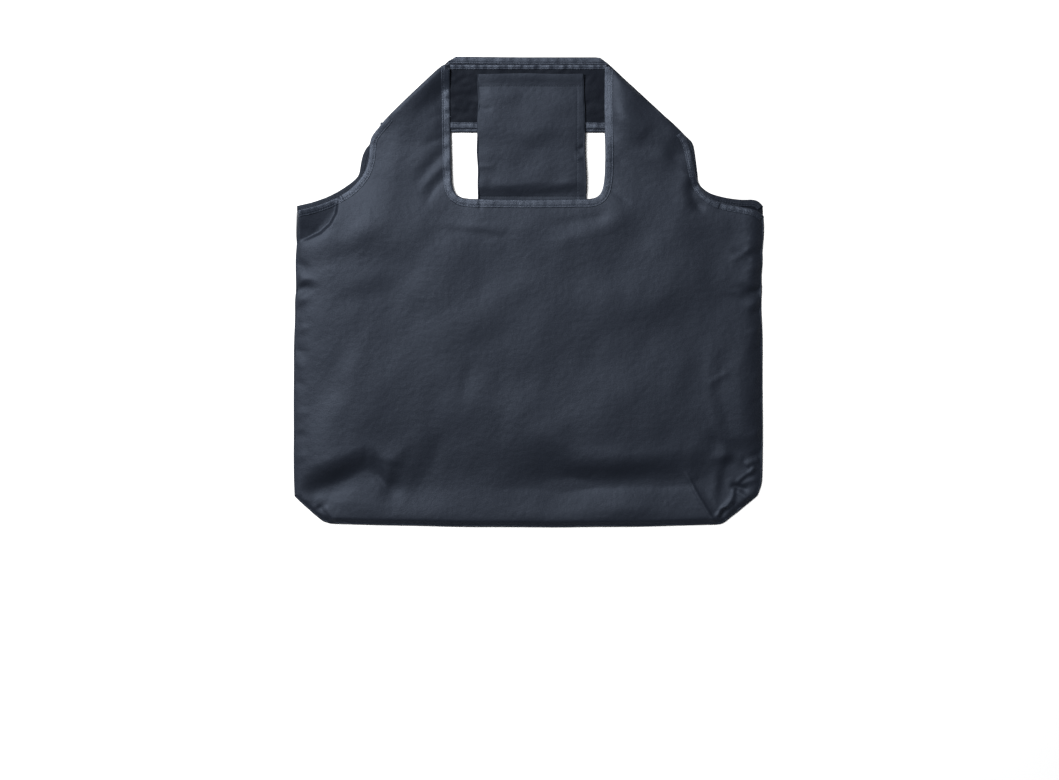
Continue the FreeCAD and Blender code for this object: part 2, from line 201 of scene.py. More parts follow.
def front_height(x, y):
    d = np.minimum.reduce([near(x, y, c)[0] for c in CLOSED])
    dl, dr, db = (near(x, y, c)[0] for c in CLOSED)
    side = np.minimum(dl, dr)
    foot = np.interp(x, [294, 330, 366, 377, 386, 398, 430, 500, 548, 580, 640, 690, 715, 762], [501, 488, 472, 477, 491, 492, 491, 489, 488, 487.5, 486.5, 485, 482, 482])
    rise = np.interp(x, [294, 330, 360, 377, 390, 430, 500, 548, 580, 640, 690, 715, 762], [34, 31, 28, 32, 32, 76, 90, 56, 38, 34, 38, 60, 64])
    full = 1 - smooth01(0, 1, 1 - np.clip((foot - y) / rise, 0, 1))
    bulge = (5.6 - 1.9 * smooth01(640, 745, x)) * (1 - np.exp(-((side / (19.0 - 10.0 * smooth01(600, 700, x))) ** 1.5))) * full
    bulge = bulge * (1 - smooth01(710, 733, x + 0.12 * (y - 480)) * smooth01(438, 462, y))
    body = 0.9 + 2.0 * (1 - np.exp(-((d / 4.5) ** 1.2))) + bulge
    body = body + 2.0 * smooth01(486, 523, y) * smooth01(0, 6, d)
    s = 1 - smooth01(178, 232, y)
    strap = 3.2 + 2.7 * (1 - smooth01(112, 150, y))
    arm = np.minimum(near(x, y, ARM_L)[0], near(x, y, ARM_R)[0])
    hole = np.minimum(near(x, y, HOLE_L)[0], near(x, y, HOLE_R)[0])
    strap = strap + 1.7 * (1 - np.exp(-((np.minimum(arm, 60) / 20.0) ** 1.6))) * smooth01(90, 150, y)
    fr = np.clip(near(x, y, [(600, 58), (620, 77), (648, 102.5), (676, 128), (690, 141)])[0] / 32.0, 0, 1)
    roll = np.sqrt(np.maximum(1 - (1 - fr) ** 2, 0))
    strap = np.where(x > 529, 3.6 + (strap + (1.9 + 2.4 * (1 - smooth01(606, 690, x))) * (1 - smooth01(115, 175, y)) - 3.6) * roll, strap)
    by_hole = np.exp(-((hole / 12.0) ** 2)) * (1 - smooth01(125, 165, y))
    strap = strap * (1 - by_hole) + 3.4 * by_hole
    z = body * (1 - s) + strap * s
    z = z - 1.0 * np.exp(-((arm / 7.0) ** 1.5)) - 0.5 * np.exp(-((hole / 9.0) ** 2)) * s
    f = 0
    # the crease of the boxed base, and the hollow above it
    f = f + fold(x, y, [(470, 489), (520, 489), (580, 488.5), (640, 487.5), (697, 486)], -0.9, 16, 4.0, 1.3, (0.45, 0.10))
    # the hollow at the lower left, with the shoulder that throws it into shade
    f = f + fold(x, y, [(297, 494), (318, 490), (342, 482), (366, 468), (377, 455)], -1.4, 14, 16, 2.0, (0.22, 0.3))
    f = f + fold(x, y, [(300, 470), (322, 461), (345, 452), (366, 445)], 0.4, 15, 9, 2.0, (0.3, 0.3))
    f = f + fold(x, y, [(376, 486), (388, 474), (394, 458)], -1.6, 10, 13, 2.0, (0.3, 0.3))
    f = f + fold(x, y, [(404, 500), (412, 470), (432, 437), (446, 415)], 0.35, 12, 14, 2.0, (0.3, 0.4))
    f = f + fold(x, y, [(433, 476), (435, 452), (441, 430)], -0.35, 5, 7, 2.0, (0.3, 0.4))
    # the small bottom-left corner fold
    f = f + fold(x, y, [(318, 504), (323, 511), (330, 521)], -1.3, 3.5, 5, 1.6, (0.2, 0.1))
    f = f + fold(x, y, [(324, 506), (330, 513), (337, 522)], 0.8, 4, 6, 2.0, (0.2, 0.1))
    f = f + fold(x, y, [(300, 498), (316, 500), (331, 497)], 0.6, 5, 4, 2.0, (0.2, 0.3))
    # the tuck under the left armhole
    f = f + fold(x, y, [(297, 214), (308, 222), (320, 231)], 0.6, 3.4, 3.4, 2.0, (0.0, 0.3)) - fold(x, y, [(300, 228), (309, 233)], 0.5, 4, 4, 2.0, (0.0, 0.3))
    f = f + fold(x, y, [(295, 250), (310, 247.5), (327, 240), (342, 229)], 1.3, 6, 11, 2.0, (0.0, 0.4))
    f = f + fold(x, y, [(297, 219), (308, 226), (322, 231)], 0.35, 3.0, 3.5, 1.8, (0.0, 0.4))
    f = f + fold(x, y, [(297, 228), (305, 233), (313, 236)], -0.3, 3.0, 3.0, 1.8, (0.0, 0.4))
    # dents in the left edge
    for yy, hh, ll, dy in ((262, -0.8, 22, 9), (277, 1.0, 30, 6), (290, -1.5, 26, -7), (303, 0.8, 24, -12), (316, -0.9, 18, -16),
                           (331, 0.7, 22, -5), (349, -0.8, 20, 6), (362, 0.5, 18, 8), (382, -0.6, 17, 3), (414, 0.5, 20, -3),
                           (438, -0.8, 18, -6), (458, 0.7, 18, -6)):
        f = f + fold(x, y, [(293, yy), (293 + ll * 0.5, yy + dy * 0.45), (293 + ll, yy + dy)], hh, 4.2, 5.2, 2.0, (0.0, 0.6))
    # soft lights on the left half
    f = f + fold(x, y, [(313, 416), (328, 398), (347, 374), (366, 350), (372, 331)], 0.8, 13, 17, 2.0, (0.25, 0.35))
    f = f + fold(x, y, [(332, 440), (352, 412), (366, 386)], -0.3, 9, 11, 2.0, (0.3, 0.4))
    f = f + fold(x, y, [(299, 330), (318, 310), (345, 292), (372, 268)], 1.0, 14, 18, 2.0, (0.25, 0.35))
    f = f + fold(x, y, [(352, 262), (366, 236), (377, 206), (384, 172), (393, 140)], 1.5, 15, 20, 2.0, (0.3, 0.3))
    f = f + blob(x, y, 405, 268, 34, 24, -1.0, -25) + blob(x, y, 352, 300, 30, 18, -0.8, -30)
    # creases running into the left edge of the hand hole
    f = f + fold(x, y, [(445, 152), (433, 163), (420, 178), (413, 190)], -1.1, 5.5, 7.0, 1.8, (0.0, 0.45))
    f = f + fold(x, y, [(444, 166), (434, 176), (424, 188), (418, 199)], 0.55, 4.0, 5.0, 1.8, (0.0, 0.5))
    f = f + fold(x, y, [(445, 178), (436, 187), (428, 199), (423, 211)], -0.9, 4.0, 6.0, 1.8, (0.0, 0.5))
    f = f + fold(x, y, [(446, 138), (434, 141), (420, 149)], -0.7, 4.0, 5.0, 1.8, (0.0, 0.5))
    f = f + fold(x, y, [(446, 112), (436, 117), (424, 121)], -0.6, 4.0, 5.0, 1.8, (0.0, 0.5))
    f = f + fold(x, y, [(400, 128), (412, 108), (431, 88)], 0.7, 12, 12, 2.0, (0.3, 0.3))
    # below the mouth
    f = f + fold(x, y, [(430, 221), (455, 226), (485, 228.5), (515, 231)], 0.42, 4.5, 5.5, 2.0, (0.25, 0.3))
    f = f + fold(x, y, [(432, 226), (458, 232), (490, 235), (520, 238)], -0.35, 4.5, 6.5, 2.0, (0.25, 0.3))
    f = f + fold(x, y, [(535, 222), (560, 225), (585, 220), (612, 214)], -0.55, 5, 6, 2.0, (0.3, 0.2))
    f = f + fold(x, y, [(540, 246), (565, 239), (592, 234), (615, 222), (628, 208)], 0.7, 7, 9, 2.0, (0.3, 0.2))
    f = f + fold(x, y, [(480, 201), (480.3, 207), (480.5, 214)], -0.45, 1.8, 1.8, 2.0, (0.0, 0.5))
    f = f + blob(x, y, 537, 262, 42, 26, -0.9, -35) + blob(x, y, 575, 285, 48, 26, 0.7, -30)
    f = f + fold(x, y, [(384, 128), (402, 107), (421, 89), (438, 74), (447, 66)], 3.6, 8, 23, 1.15, (0.4, 0.01))
    f = f + fold(x, y, [(398, 124), (414, 108), (430, 94), (444, 84)], -1.0, 12, 14, 2.0, (0.2, 0.1))
    # the right strap and shoulder
    f = f + fold(x, y, [(606, 66), (626, 84), (650, 105), (674, 128), (692, 150)], -0.6, 24, 24, 1.7, (0.05, 0.3))
    f = f + fold(x, y, [(612, 104), (628, 118), (650, 136)], 0.9, 12, 12, 2.0, (0.2, 0.2))
    f = f + fold(x, y, [(612, 96), (634, 104), (660, 122), (676, 140)], -0.9, 14, 12, 2.0, (0.2, 0.25))
    f = f + fold(x, y, [(617, 132), (632, 148), (654, 160), (676, 158)], 0.8, 10, 10, 2.0, (0.25, 0.2))
    f = f + blob(x, y, 674, 157, 10, 7, -0.9, 20) + blob(x, y, 646, 148, 12, 7, -0.5, 10)
    f = f + fold(x, y, [(696, 181), (691, 190), (694, 203), (706, 214)], -1.6, 5, 7, 1.8, (0.15, 0.35))
    f = f + fold(x, y, [(690, 171), (683, 182), (684, 196), (694, 212)], 1.0, 6, 9, 2.0, (0.15, 0.35))
    f = f + fold(x, y, [(612, 150), (620, 158), (626, 170)], -0.6, 4, 5, 1.8, (0.0, 0.5))
    f = f + fold(x, y, [(612, 190), (622, 199), (634, 205)], -0.7, 4, 5, 1.8, (0.0, 0.5))
    # dents in the right edge
    for yy, hh, ll, dy in ((244, 0.6, 26, -6), (252, -0.8, 30, 7), (266, 0.9, 22, 6), (279, -0.7, 16, 4), (289, -1.8, 26, 8),
                           (300, 1.2, 22, 9), (311, -0.8, 20, 5), (326, 0.7, 20, 12), (345, -0.6, 18, 13), (372, 0.5, 16, 10),
                           (398, -0.6, 16, 8), (428, 0.7, 20, 12), (452, -0.9, 18, 7)):
        f = f + fold(x, y, [(764, yy), (764 - ll * 0.5, yy + dy * 0.45), (764 - ll, yy + dy)], hh, 5.0, 4.0, 2.0, (0.0, 0.6))
    f = f + fold(x, y, [(727, 262), (740, 257), (753, 246)], 0.7, 3, 3.5, 1.8, (0.3, 0.2))
    f = f + fold(x, y, [(729, 250), (741, 253), (752, 262)], -0.6, 3, 3.5, 1.8, (0.3, 0.2))
    # long soft wrinkles down the right side
    f = f + fold(x, y, [(716, 330), (709, 362), (707, 388), (716, 420), (724, 448), (722, 470)], 0.45, 9, 6, 1.8, (0.2, 0.15))
    f = f + fold(x, y, [(727, 345), (720, 372), (719, 398), (727, 426), (735, 446)], -0.4, 6, 7, 1.8, (0.2, 0.2))
    f = f + fold(x, y, [(744, 336), (738, 368), (738, 396), (744, 428)], 0.35, 6, 8, 1.8, (0.3, 0.3))
    f = f + fold(x, y, [(706, 386), (716, 379), (730, 370)], 0.5, 3, 4, 1.8, (0.2, 0.3))
    f = f + fold(x, y, [(690, 352), (676, 378), (660, 398)], 0.6, 10, 12, 2.0, (0.3, 0.3))
    # the crumpled bottom-right corner
    f = f + fold(x, y, [(682, 466), (690, 481), (699, 498), (708, 512), (714, 523)], 1.2, 1.6, 2.2, 1.7, (0.25, 0.0))
    f = f + fold(x, y, [(693, 474), (701, 487), (710, 502), (718, 516)], -0.9, 4.0, 7.0, 2.0, (0.2, 0.1))
    f = f + blob(x, y, 722, 478, 6.0, 9.0, -0.9, 10, 2.4)
    f = f + fold(x, y, [(705, 462), (718, 457), (731, 455), (744, 460)], 0.5, 5.0, 5.0, 2.0, (0.2, 0.1))
    f = f + fold(x, y, [(756, 466), (748, 474), (737, 482), (733.5, 490), (732, 499), (726, 505), (718, 514)], 1.45, 2.4, 2.2, 2.0, (0.05, 0.0))
    f = f + fold(x, y, [(735, 486), (741, 488), (749, 489.5)], -1.6, 2.2, 3.0, 1.6, (0.0, 0.35))
    f = f + fold(x, y, [(735, 486), (743, 479), (752, 471.5)], -1.6, 2.4, 2.8, 1.6, (0.0, 0.35))
    f = f + fold(x, y, [(736, 484), (747, 482), (759, 479)], 0.7, 3.0, 3.0, 1.8, (0.1, 0.3))
    f = f + fold(x, y, [(737, 490), (744, 497), (750, 499)], 1.2, 3.0, 3.0, 1.8, (0.1, 0.2))
    f = f + fold(x, y, [(733, 503), (737, 507), (741, 508)], -1.2, 2.4, 3.0, 1.8, (0.1, 0.2))
    f = f + fold(x, y, [(745, 466), (752, 461), (760, 459)], 1.1, 3.4, 3.4, 1.8, (0.1, 0.2))
    f = f + blob(x, y, 722, 513, 4.6, 6.0, -2.6, 40, 2.4)
    for cx, cy, rx, ry, deg, turn in ((726, 460, 8, 8, 14, 20), (719, 488, 7, 14, 15, 10), (706, 492, 9, 18, 10, -30), (740, 474, 9, 8, -7, 20),
                                      (746, 494, 14, 9, -8, -30), (754, 462, 6, 12, 6, 0), (735, 440, 18, 9, 5, 0), (712, 446, 16, 9, -4, 0)):
        f = f + lean(x, y, cx, cy, rx, ry, deg, turn)
    f = f + fold(x, y, [(718, 517), (719, 510), (724, 505.5), (730, 507)], 1.1, 1.7, 1.7, 2.0, (0.1, 0.1))
    # how the cloth leans, patch by patch
    for cx, cy, rx, ry, deg, turn in (
            (334, 477, 30, 15, 12, -22), (391, 482, 10, 16, 13, 5), (418, 470, 14, 26, 3, 20),
            (612, 470, 54, 15, 11, -3), (302, 287, 9, 7, 11, -10),
            (752, 287, 14, 8, 12, 10), (738, 296, 12, 5, 8, 10), (696, 186, 8, 18, 12, -10), (703, 204, 14, 7, 9, 35),
            (346, 378, 16, 36, -5, 18), (328, 408, 16, 20, -4, 30), (372, 430, 30, 30, 3, 20), (318, 352, 16, 26, -2, 0),
            (366, 287, 52, 15, 4.5, -8), (330, 268, 30, 10, -3, -20), (348, 234, 30, 13, -4, -28), (388, 168, 13, 34, -4.5, 8), (420, 232, 34, 22, 2.5, -20),
            (404, 262, 26, 20, 3.5, -20), (470, 262, 40, 24, 3, -10), (560, 262, 60, 26, 3.5, -12), (524, 300, 46, 20, 3.0, -20),
            (470, 320, 50, 18, -1.5, -10), (560, 410, 52, 30, -3, -10), (470, 440, 46, 30, -1.5, 0), (640, 388, 46, 30, -2, -20),
            (690, 236, 46, 46, 3.2, 0), (648, 205, 30, 36, 3, 20), (724, 292, 36, 22, 3.5, 15), (640, 320, 60, 26, 2.5, -12), (726, 356, 26, 34, 1.0, 0),
            (620, 186, 14, 34, -1.5, 0), (737, 245, 18, 16, -3, 0),
            (430, 168, 16, 26, 5, 25), (431, 95, 28, 13, 15, -43), (402, 122, 22, 12, -3, -43),
            (676, 142, 16, 14, 9, 40), (640, 98, 18, 14, 6, 44), (640, 150, 24, 16, -2, 30)):
        f = f + lean(x, y, cx, cy, rx, ry, deg, turn)
    # faint long folds and clouds over the whole panel
    f = f + fold(x, y, [(463, 405), (467, 380), (474, 352)], -0.6, 7, 9, 2.0, (0.3, 0.4))
    f = f + fold(x, y, [(500, 420), (530, 396), (566, 384), (600, 362)], 0.6, 16, 18, 2.0, (0.3, 0.4))
    f = f + fold(x, y, [(432, 330), (470, 318), (520, 316)], 0.6, 14, 16, 2.0, (0.3, 0.4))
    inside = smooth01(3, 22, d) * (1 - 0.55 * s)
    clouds = 1.2 * noise(x, y, 46, 3) + 0.36 * noise(x, y, 24, 5, (1.0, 1.2), 25) + 0.16 * noise(x, y, 11, 7, (1, 1.4), -20)
    fine = 0.05 * noise(x, y, 5.2, 11) + 0.035 * noise(x, y, 3.1, 12)
    limit = smooth01(0.0, 5.0, d)
    z = z + f * (0.35 + 0.65 * limit) + clouds * inside + fine * limit
    dt, _, st = near(x, y, [(288, 246), (297, 243), (308, 240), (321, 234), (331, 225), (337, 214), (339, 200)])
    tuck = smooth01(-0.3, 1.9, dt * st) * (x < 345) * (y < 250)
    dip = 9.2 - 0.255 * ((x - 297) * 0.67 + (y - 209) * 0.74) * 1.03 + 0.5 * (z - body)
    z = z * (1 - tuck) + (1.4 + np.maximum(dip - 1.4, 0)) * tuck * smooth01(-1, 3, d) + 0.9 * tuck * (1 - smooth01(-1, 3, d))
    least = (front_bar_height(x, y) + 0.55) * (1 - smooth01(130, 137, y)) + 0.85 * smooth01(130, 137, y)
    over = z - least
    return least + 0.5 * (over + np.sqrt(over * over + 0.12))


def back_height(x, y):
    d = np.minimum.reduce([near(x, y, c)[0] for c in CLOSED])
    z = 0.42 + 0.12 * noise(x, y, 17, 21) * smooth01(2, 12, d) + 0.05 * noise(x, y, 6, 22)
    return np.clip(z, 0.18, 0.7)


def bar_wrinkles(x, y, seed):
    w = 0.42 * noise(x, y, 9, seed, (1.6, 0.8), 8) + 0.26 * noise(x, y, 4.6, seed + 1, (1.4, 0.8), -25)
    return w


def back_bar_height(x, y):
    return 1.35 + 0.5 * bar_wrinkles(x, y, 31)


def front_bar_height(x, y):
    z = 2.45 + bar_wrinkles(x, y, 41) + 0.45 * np.exp(-(((x - 451) / 7.0) ** 2))
    z = z + fold(x, y, [(452, 80), (462, 84), (478, 82)], 0.5, 3, 4, 1.8, (0.1, 0.1)) + fold(x, y, [(452, 97), (464, 94), (478, 99)], -0.5, 3, 4, 1.8, (0.1, 0.1))
    z = z + fold(x, y, [(452, 106), (462, 110), (476, 108)], 0.5, 3, 3, 1.8, (0.1, 0.1)) + fold(x, y, [(586, 88), (596, 91), (606, 88)], 0.45, 3, 4, 1.8, (0.1, 0.1))
    z = z + fold(x, y, [(586, 110), (596, 106), (606, 109)], 0.45, 3, 4, 1.8, (0.1, 0.1))
    return z


# ---------------------------------------------------------------------------
# Mesh tools
# ---------------------------------------------------------------------------
def inside_of(x, y, poly):
    poly = np.asarray(poly, float)
    a, b = poly, np.roll(poly, -1, axis=0)
    hit = np.zeros(x.shape, bool)
    for (ax, ay), (bx, by) in zip(a, b):
        if ay == by:
            continue
        c = (ay > y) != (by > y)
        hit ^= c & (x < (bx - ax) * (y - ay) / (by - ay) + ax)
    return hit


def triangulate(outline, step, cuts=()):
    """Even triangles that fill an outline and keep to it and to the cut lines."""
    outline = np.asarray(outline, float)
    if np.linalg.norm(outline[0] - outline[-1]) < 1e-6:
        outline = outline[:-1]
    lo, hi = outline.min(0), outline.max(0)
    rows = np.arange(lo[1], hi[1], step * 0.866)
    pts = []
    for k, yy in enumerate(rows):
        xs = np.arange(lo[0] + (step / 2 if k % 2 else 0), hi[0], step)
        pts.append(np.stack([xs, np.full_like(xs, yy)], 1))
    pts = np.vstack(pts)
    pts = pts[inside_of(pts[:, 0], pts[:, 1], outline)]
    lines = [np.vstack([outline, outline[:1]])] + [np.asarray(c, float) for c in cuts]
    keep = np.ones(len(pts), bool)
    for ln in lines:
        keep &= near(pts[:, 0], pts[:, 1], ln)[0] > step * 0.55
    pts = pts[keep]
    coords = [Vector(p) for p in outline] + [Vector(p) for p in pts]
    n = len(outline)
    edges = [(i, (i + 1) % n) for i in range(n)]
    for c in cuts:
        c = even(c, step)
        base = len(coords)
        coords += [Vector(p) for p in c]
        edges += [(base + i, base + i + 1) for i in range(len(c) - 1)]
    v, _, f, _, _, _ = delaunay_2d_cdt(coords, edges, [], 1, 1e-3)
    v = np.array([tuple(p) for p in v], float)
    tri = np.array([t for t in f if len(t) == 3], int)
    a, b, c = v[tri[:, 0]], v[tri[:, 1]], v[tri[:, 2]]
    area = (b[:, 0] - a[:, 0]) * (c[:, 1] - a[:, 1]) - (b[:, 1] - a[:, 1]) * (c[:, 0] - a[:, 0])
    mid = (a + b + c) / 3
    ok = (abs(area) > 1e-6) & inside_of(mid[:, 0], mid[:, 1], outline)
    tri, area = tri[ok], area[ok]
    tri[area > 0] = tri[area > 0][:, ::-1]  # y runs down here, so this turns the face upwards
    return v, tri


def weld(v, f):
    key = np.round(v * 2e6).astype(np.int64)
    _, first, inverse = np.unique(key, axis=0, return_index=True, return_inverse=True)
    f = inverse.reshape(-1)[f]
    good = (f[:, 0] != f[:, 1]) & (f[:, 1] != f[:, 2]) & (f[:, 0] != f[:, 2])
    return v[first], f[good], first


def vertex_normals(v, f):
    n = np.zeros_like(v)
    c = np.cross(v[f[:, 1]] - v[f[:, 0]], v[f[:, 2]] - v[f[:, 0]])
    for i in range(3):
        np.add.at(n, f[:, i], c)
    return n / np.maximum(np.linalg.norm(n, axis=1, keepdims=True), 1e-18)


def make(name, v, faces, uv=None, normals=None, material=None, smooth=True):
    me = bpy.data.meshes.new(name)
    me.from_pydata([tuple(p) for p in v], [], [tuple(int(i) for i in f) for f in faces])
    me.update()
    if uv is not None:
        layer = me.uv_layers.new(name="UVMap")
        idx = np.zeros(len(me.loops), np.int32)
        me.loops.foreach_get("vertex_index", idx)
        layer.data.foreach_set("uv", np.asarray(uv, np.float32)[idx].ravel())
    me.polygons.foreach_set("use_smooth", np.full(len(me.polygons), smooth))
    if normals is not None:
        me.normals_split_custom_set_from_vertices([tuple(n) for n in normals])
    me.update()
    ob = bpy.data.objects.new(name, me)
    bpy.context.scene.collection.objects.link(ob)
    if material is not None:
        me.materials.append(material)
    return ob


def take(name, mesh, mask, material):
    """Part of a bigger cloth as its own object; it keeps the whole cloth's normals, so no join shows."""
    f = mesh["f"][mask]
    used, inv = np.unique(f, return_inverse=True)
    return make(name, mesh["v"][used], inv.reshape(-1, 3), mesh["uv"][used], mesh["n"][used], material)


# ---------------------------------------------------------------------------
# Materials
# ---------------------------------------------------------------------------
def cloth_material(name, colour, rough=0.5, weave=0.00042, cloud=0.10, bump=0.22, sheen=0.02, tape=False, spec=0.345):
    m = bpy.data.materials.new(name)
    m.use_nodes = True
    nt = m.node_tree
    nt.nodes.clear()
    N, L = nt.nodes.new, nt.links.new
    out, b = N("ShaderNodeOutputMaterial"), N("ShaderNodeBsdfPrincipled")
    L(b.outputs["BSDF"], out.inputs["Surface"])
    b.inputs["Roughness"].default_value = rough
    b.inputs["Specular IOR Level"].default_value = spec
    b.inputs["Specular Tint"].default_value = (0.68, 0.79, 1.0, 1)
    b.inputs["Sheen Weight"].default_value = sheen
    b.inputs["Sheen Roughness"].default_value = 0.45
    b.inputs["Sheen Tint"].default_value = (0.62, 0.70, 0.85, 1)
    uv = N("ShaderNodeUVMap"); uv.uv_map = "UVMap"
    co = N("ShaderNodeTexCoord")
    # colour: slow clouds, a fine fleck and single darker or lighter yarns
    n1 = N("ShaderNodeTexNoise"); n1.inputs["Scale"].default_value = 16; n1.inputs["Detail"].default_value = 5
    n2 = N("ShaderNodeTexNoise"); n2.inputs["Scale"].default_value = 900; n2.inputs["Detail"].default_value = 2
    L(uv.outputs["UV"], n1.inputs["Vector"]); L(uv.outputs["UV"], n2.inputs["Vector"])
    yarn = N("ShaderNodeMapping"); yarn.inputs["Scale"].default_value = (14, 1500, 1)
    L(uv.outputs["UV"], yarn.inputs["Vector"])
    n3 = N("ShaderNodeTexNoise"); n3.inputs["Scale"].default_value = 1.0; n3.inputs["Detail"].default_value = 2
    L(yarn.outputs["Vector"], n3.inputs["Vector"])
    yarn2 = N("ShaderNodeMapping"); yarn2.inputs["Scale"].default_value = (1500, 14, 1)
    L(uv.outputs["UV"], yarn2.inputs["Vector"])
    n4 = N("ShaderNodeTexNoise"); n4.inputs["Scale"].default_value = 1.0; n4.inputs["Detail"].default_value = 2
    L(yarn2.outputs["Vector"], n4.inputs["Vector"])

    def math_node(op, a, b_, c=None):
        k = N("ShaderNodeMath"); k.operation = op
        for i, q in enumerate((a, b_, c)):
            if q is None:
                continue
            if isinstance(q, (int, float)):
                k.inputs[i].default_value = q
            else:
                L(q, k.inputs[i])
        return k.outputs[0]

    s1 = math_node("MULTIPLY_ADD", n1.outputs["Fac"], cloud * 2.2, 1 - cloud * 1.1)
    s2 = math_node("MULTIPLY_ADD", n2.outputs["Fac"], 0.30, 0.85)
    s3 = math_node("MULTIPLY_ADD", n3.outputs["Fac"], 0.10, 0.95)
    s4 = math_node("MULTIPLY_ADD", n4.outputs["Fac"], 0.10, 0.95)
    gain = math_node("MULTIPLY", math_node("MULTIPLY", s1, s2), math_node("MULTIPLY", s3, s4))
    mix = N("ShaderNodeMix"); mix.data_type = "RGBA"; mix.blend_type = "MULTIPLY"
    mix.inputs["Factor"].default_value = 1.0
    mix.inputs["A"].default_value = (*colour, 1)
    comb = N("ShaderNodeCombineColor")
    for i, k in enumerate((0.985, 1.0, 1.02)):
        L(math_node("MULTIPLY", gain, k), comb.inputs[i])
    L(comb.outputs["Color"], mix.inputs["B"])
    L(mix.outputs["Result"], b.inputs["Base Color"])
    # weave: warp and weft cross as two rows of ribs that take turns on top
    sep = N("ShaderNodeSeparateXYZ"); L(uv.outputs["UV"], sep.inputs["Vector"])
    k = 2 * math.pi / weave
    wx = math_node("SINE", math_node("MULTIPLY", sep.outputs["X"], k), 0)
    wy = math_node("SINE", math_node("MULTIPLY", sep.outputs["Y"], k), 0)
    plain = math_node("MULTIPLY", wx, wy)
    rib = math_node("SINE", math_node("MULTIPLY", sep.outputs["X" if not tape else "Y"], k * 2), 0)
    height = math_node("MULTIPLY_ADD", rib, 0.12, plain)
    rip = N("ShaderNodeTexNoise"); rip.inputs["Scale"].default_value = 210; rip.inputs["Detail"].default_value = 3
    L(uv.outputs["UV"], rip.inputs["Vector"])
    b1 = N("ShaderNodeBump"); b1.inputs["Strength"].default_value = bump; b1.inputs["Distance"].default_value = 0.00006
    L(height, b1.inputs["Height"])
    b2 = N("ShaderNodeBump"); b2.inputs["Strength"].default_value = 0.4; b2.inputs["Distance"].default_value = 0.0006
    L(rip.outputs["Fac"], b2.inputs["Height"]); L(b1.outputs["Normal"], b2.inputs["Normal"])
    b3 = N("ShaderNodeBump"); b3.inputs["Strength"].default_value = 0.35; b3.inputs["Distance"].default_value = 0.00022
    L(n2.outputs["Fac"], b3.inputs["Height"]); L(b2.outputs["Normal"], b3.inputs["Normal"])
    L(b3.outputs["Normal"], b.inputs["Normal"])
    rr = math_node("MULTIPLY_ADD", n1.outputs["Fac"], 0.16, rough - 0.08)
    L(math_node("MULTIPLY_ADD", n2.outputs["Fac"], 0.08, math_node("SUBTRACT", rr, 0.04)), b.inputs["Roughness"])
    return m


BASE_COLOUR = (0.0066, 0.0083, 0.0130)
SHELL = cloth_material("shell_fabric", BASE_COLOUR, 0.57)
POUCH_M = cloth_material("pouch_fabric", (0.0068, 0.0085, 0.0132), 0.60, cloud=0.14)
TAPE = cloth_material("binding_tape", (0.0095, 0.0120, 0.0185), 0.43, weave=0.00055, cloud=0.12, bump=0.5, sheen=0.05, tape=True, spec=0.47)
# A darker, duller copy of the same binding tape for the back's armhole bindings: its darker colour is painted shade.
TAPE_SHADED = cloth_material("binding_tape", (0.0060, 0.0076, 0.0118), 0.52, weave=0.00055, cloud=0.12, bump=0.5, sheen=0.03, tape=True, spec=0.20)
THREAD = cloth_material("thread", (0.013, 0.016, 0.024), 0.50, weave=0.0003, cloud=0.05, bump=0.3, sheen=0.1, spec=0.5)
# The cloth's other face: darker than the outer face partly because it is the cloth's wrong side, and partly as painted
# shade on the bars and strap roots that lie low in the hand hole.
INNER_FACE_AND_SHADE = cloth_material("shell_inner_face_and_shade", (0.0034, 0.0042, 0.0068), 0.60, cloud=0.14, spec=0.11)

# ---------------------------------------------------------------------------
# Cloth of the front, with its straps, folds and bar
# ---------------------------------------------------------------------------
STEP = 1.7


def lift(v2, zmm):
    xy = to_m(v2)
    return np.column_stack([xy, np.asarray(zmm) * 1e-3])


def uv_of(v2):
    return to_m(v2)


def folded_half(diag, height_top, bar_y, bar_height, join_x, left, step):
    """The roll over the 45 degree fold."""
    diag = np.asarray(diag, float)
    zt = height_top(diag[:, 0], diag[:, 1])
    zb = bar_height(diag[:, 0], diag[:, 1])
    tangent = np.gradient(diag, axis=0)
    tangent /= np.linalg.norm(tangent, axis=1, keepdims=True)
    out = np.stack([tangent[:, 1], -tangent[:, 0]], 1)
    centre = np.array([529.0, 150.0])
    flip = np.sign(((diag - centre) * out).sum(1))[:, None]
    out = out * flip
    rings, uvs = [], []
    k = 7
    for i in range(k):
        a = math.pi * i / (k - 1)
        zz = (zt + zb) / 2 + (zt - zb) / 2 * math.cos(a)
        run = np.r_[0, np.cumsum(np.linalg.norm(np.diff(diag, axis=0), axis=1))]
        ends = smooth01(0, 5, run) * smooth01(0, 5, run[-1] - run)
        bulge = np.clip(np.abs(zt - zb) / 2, 0.35, 1.3) / 1.03 * math.sin(a) * 0.9 * ends
        p = diag + out * bulge[:, None]
        rings.append(lift(p, zz))
        uvs.append(uv_of(diag + out * (i * 0.5)))
    v = np.vstack(rings)
    uv = np.vstack(uvs)
    n = len(diag)
    f = []
    for i in range(k - 1):
        for j in range(n - 1):
            a, b, c, d = i * n + j, i * n + j + 1, (i + 1) * n + j + 1, (i + 1) * n + j
            f += [(a, b, c), (a, c, d)] if left else [(a, c, b), (a, d, c)]
    return v, np.array(f), uv


def build_layer(outline, cuts, step, height):
    v2, tri = triangulate(outline, step, cuts)
    return v2, tri, height(v2[:, 0], v2[:, 1])


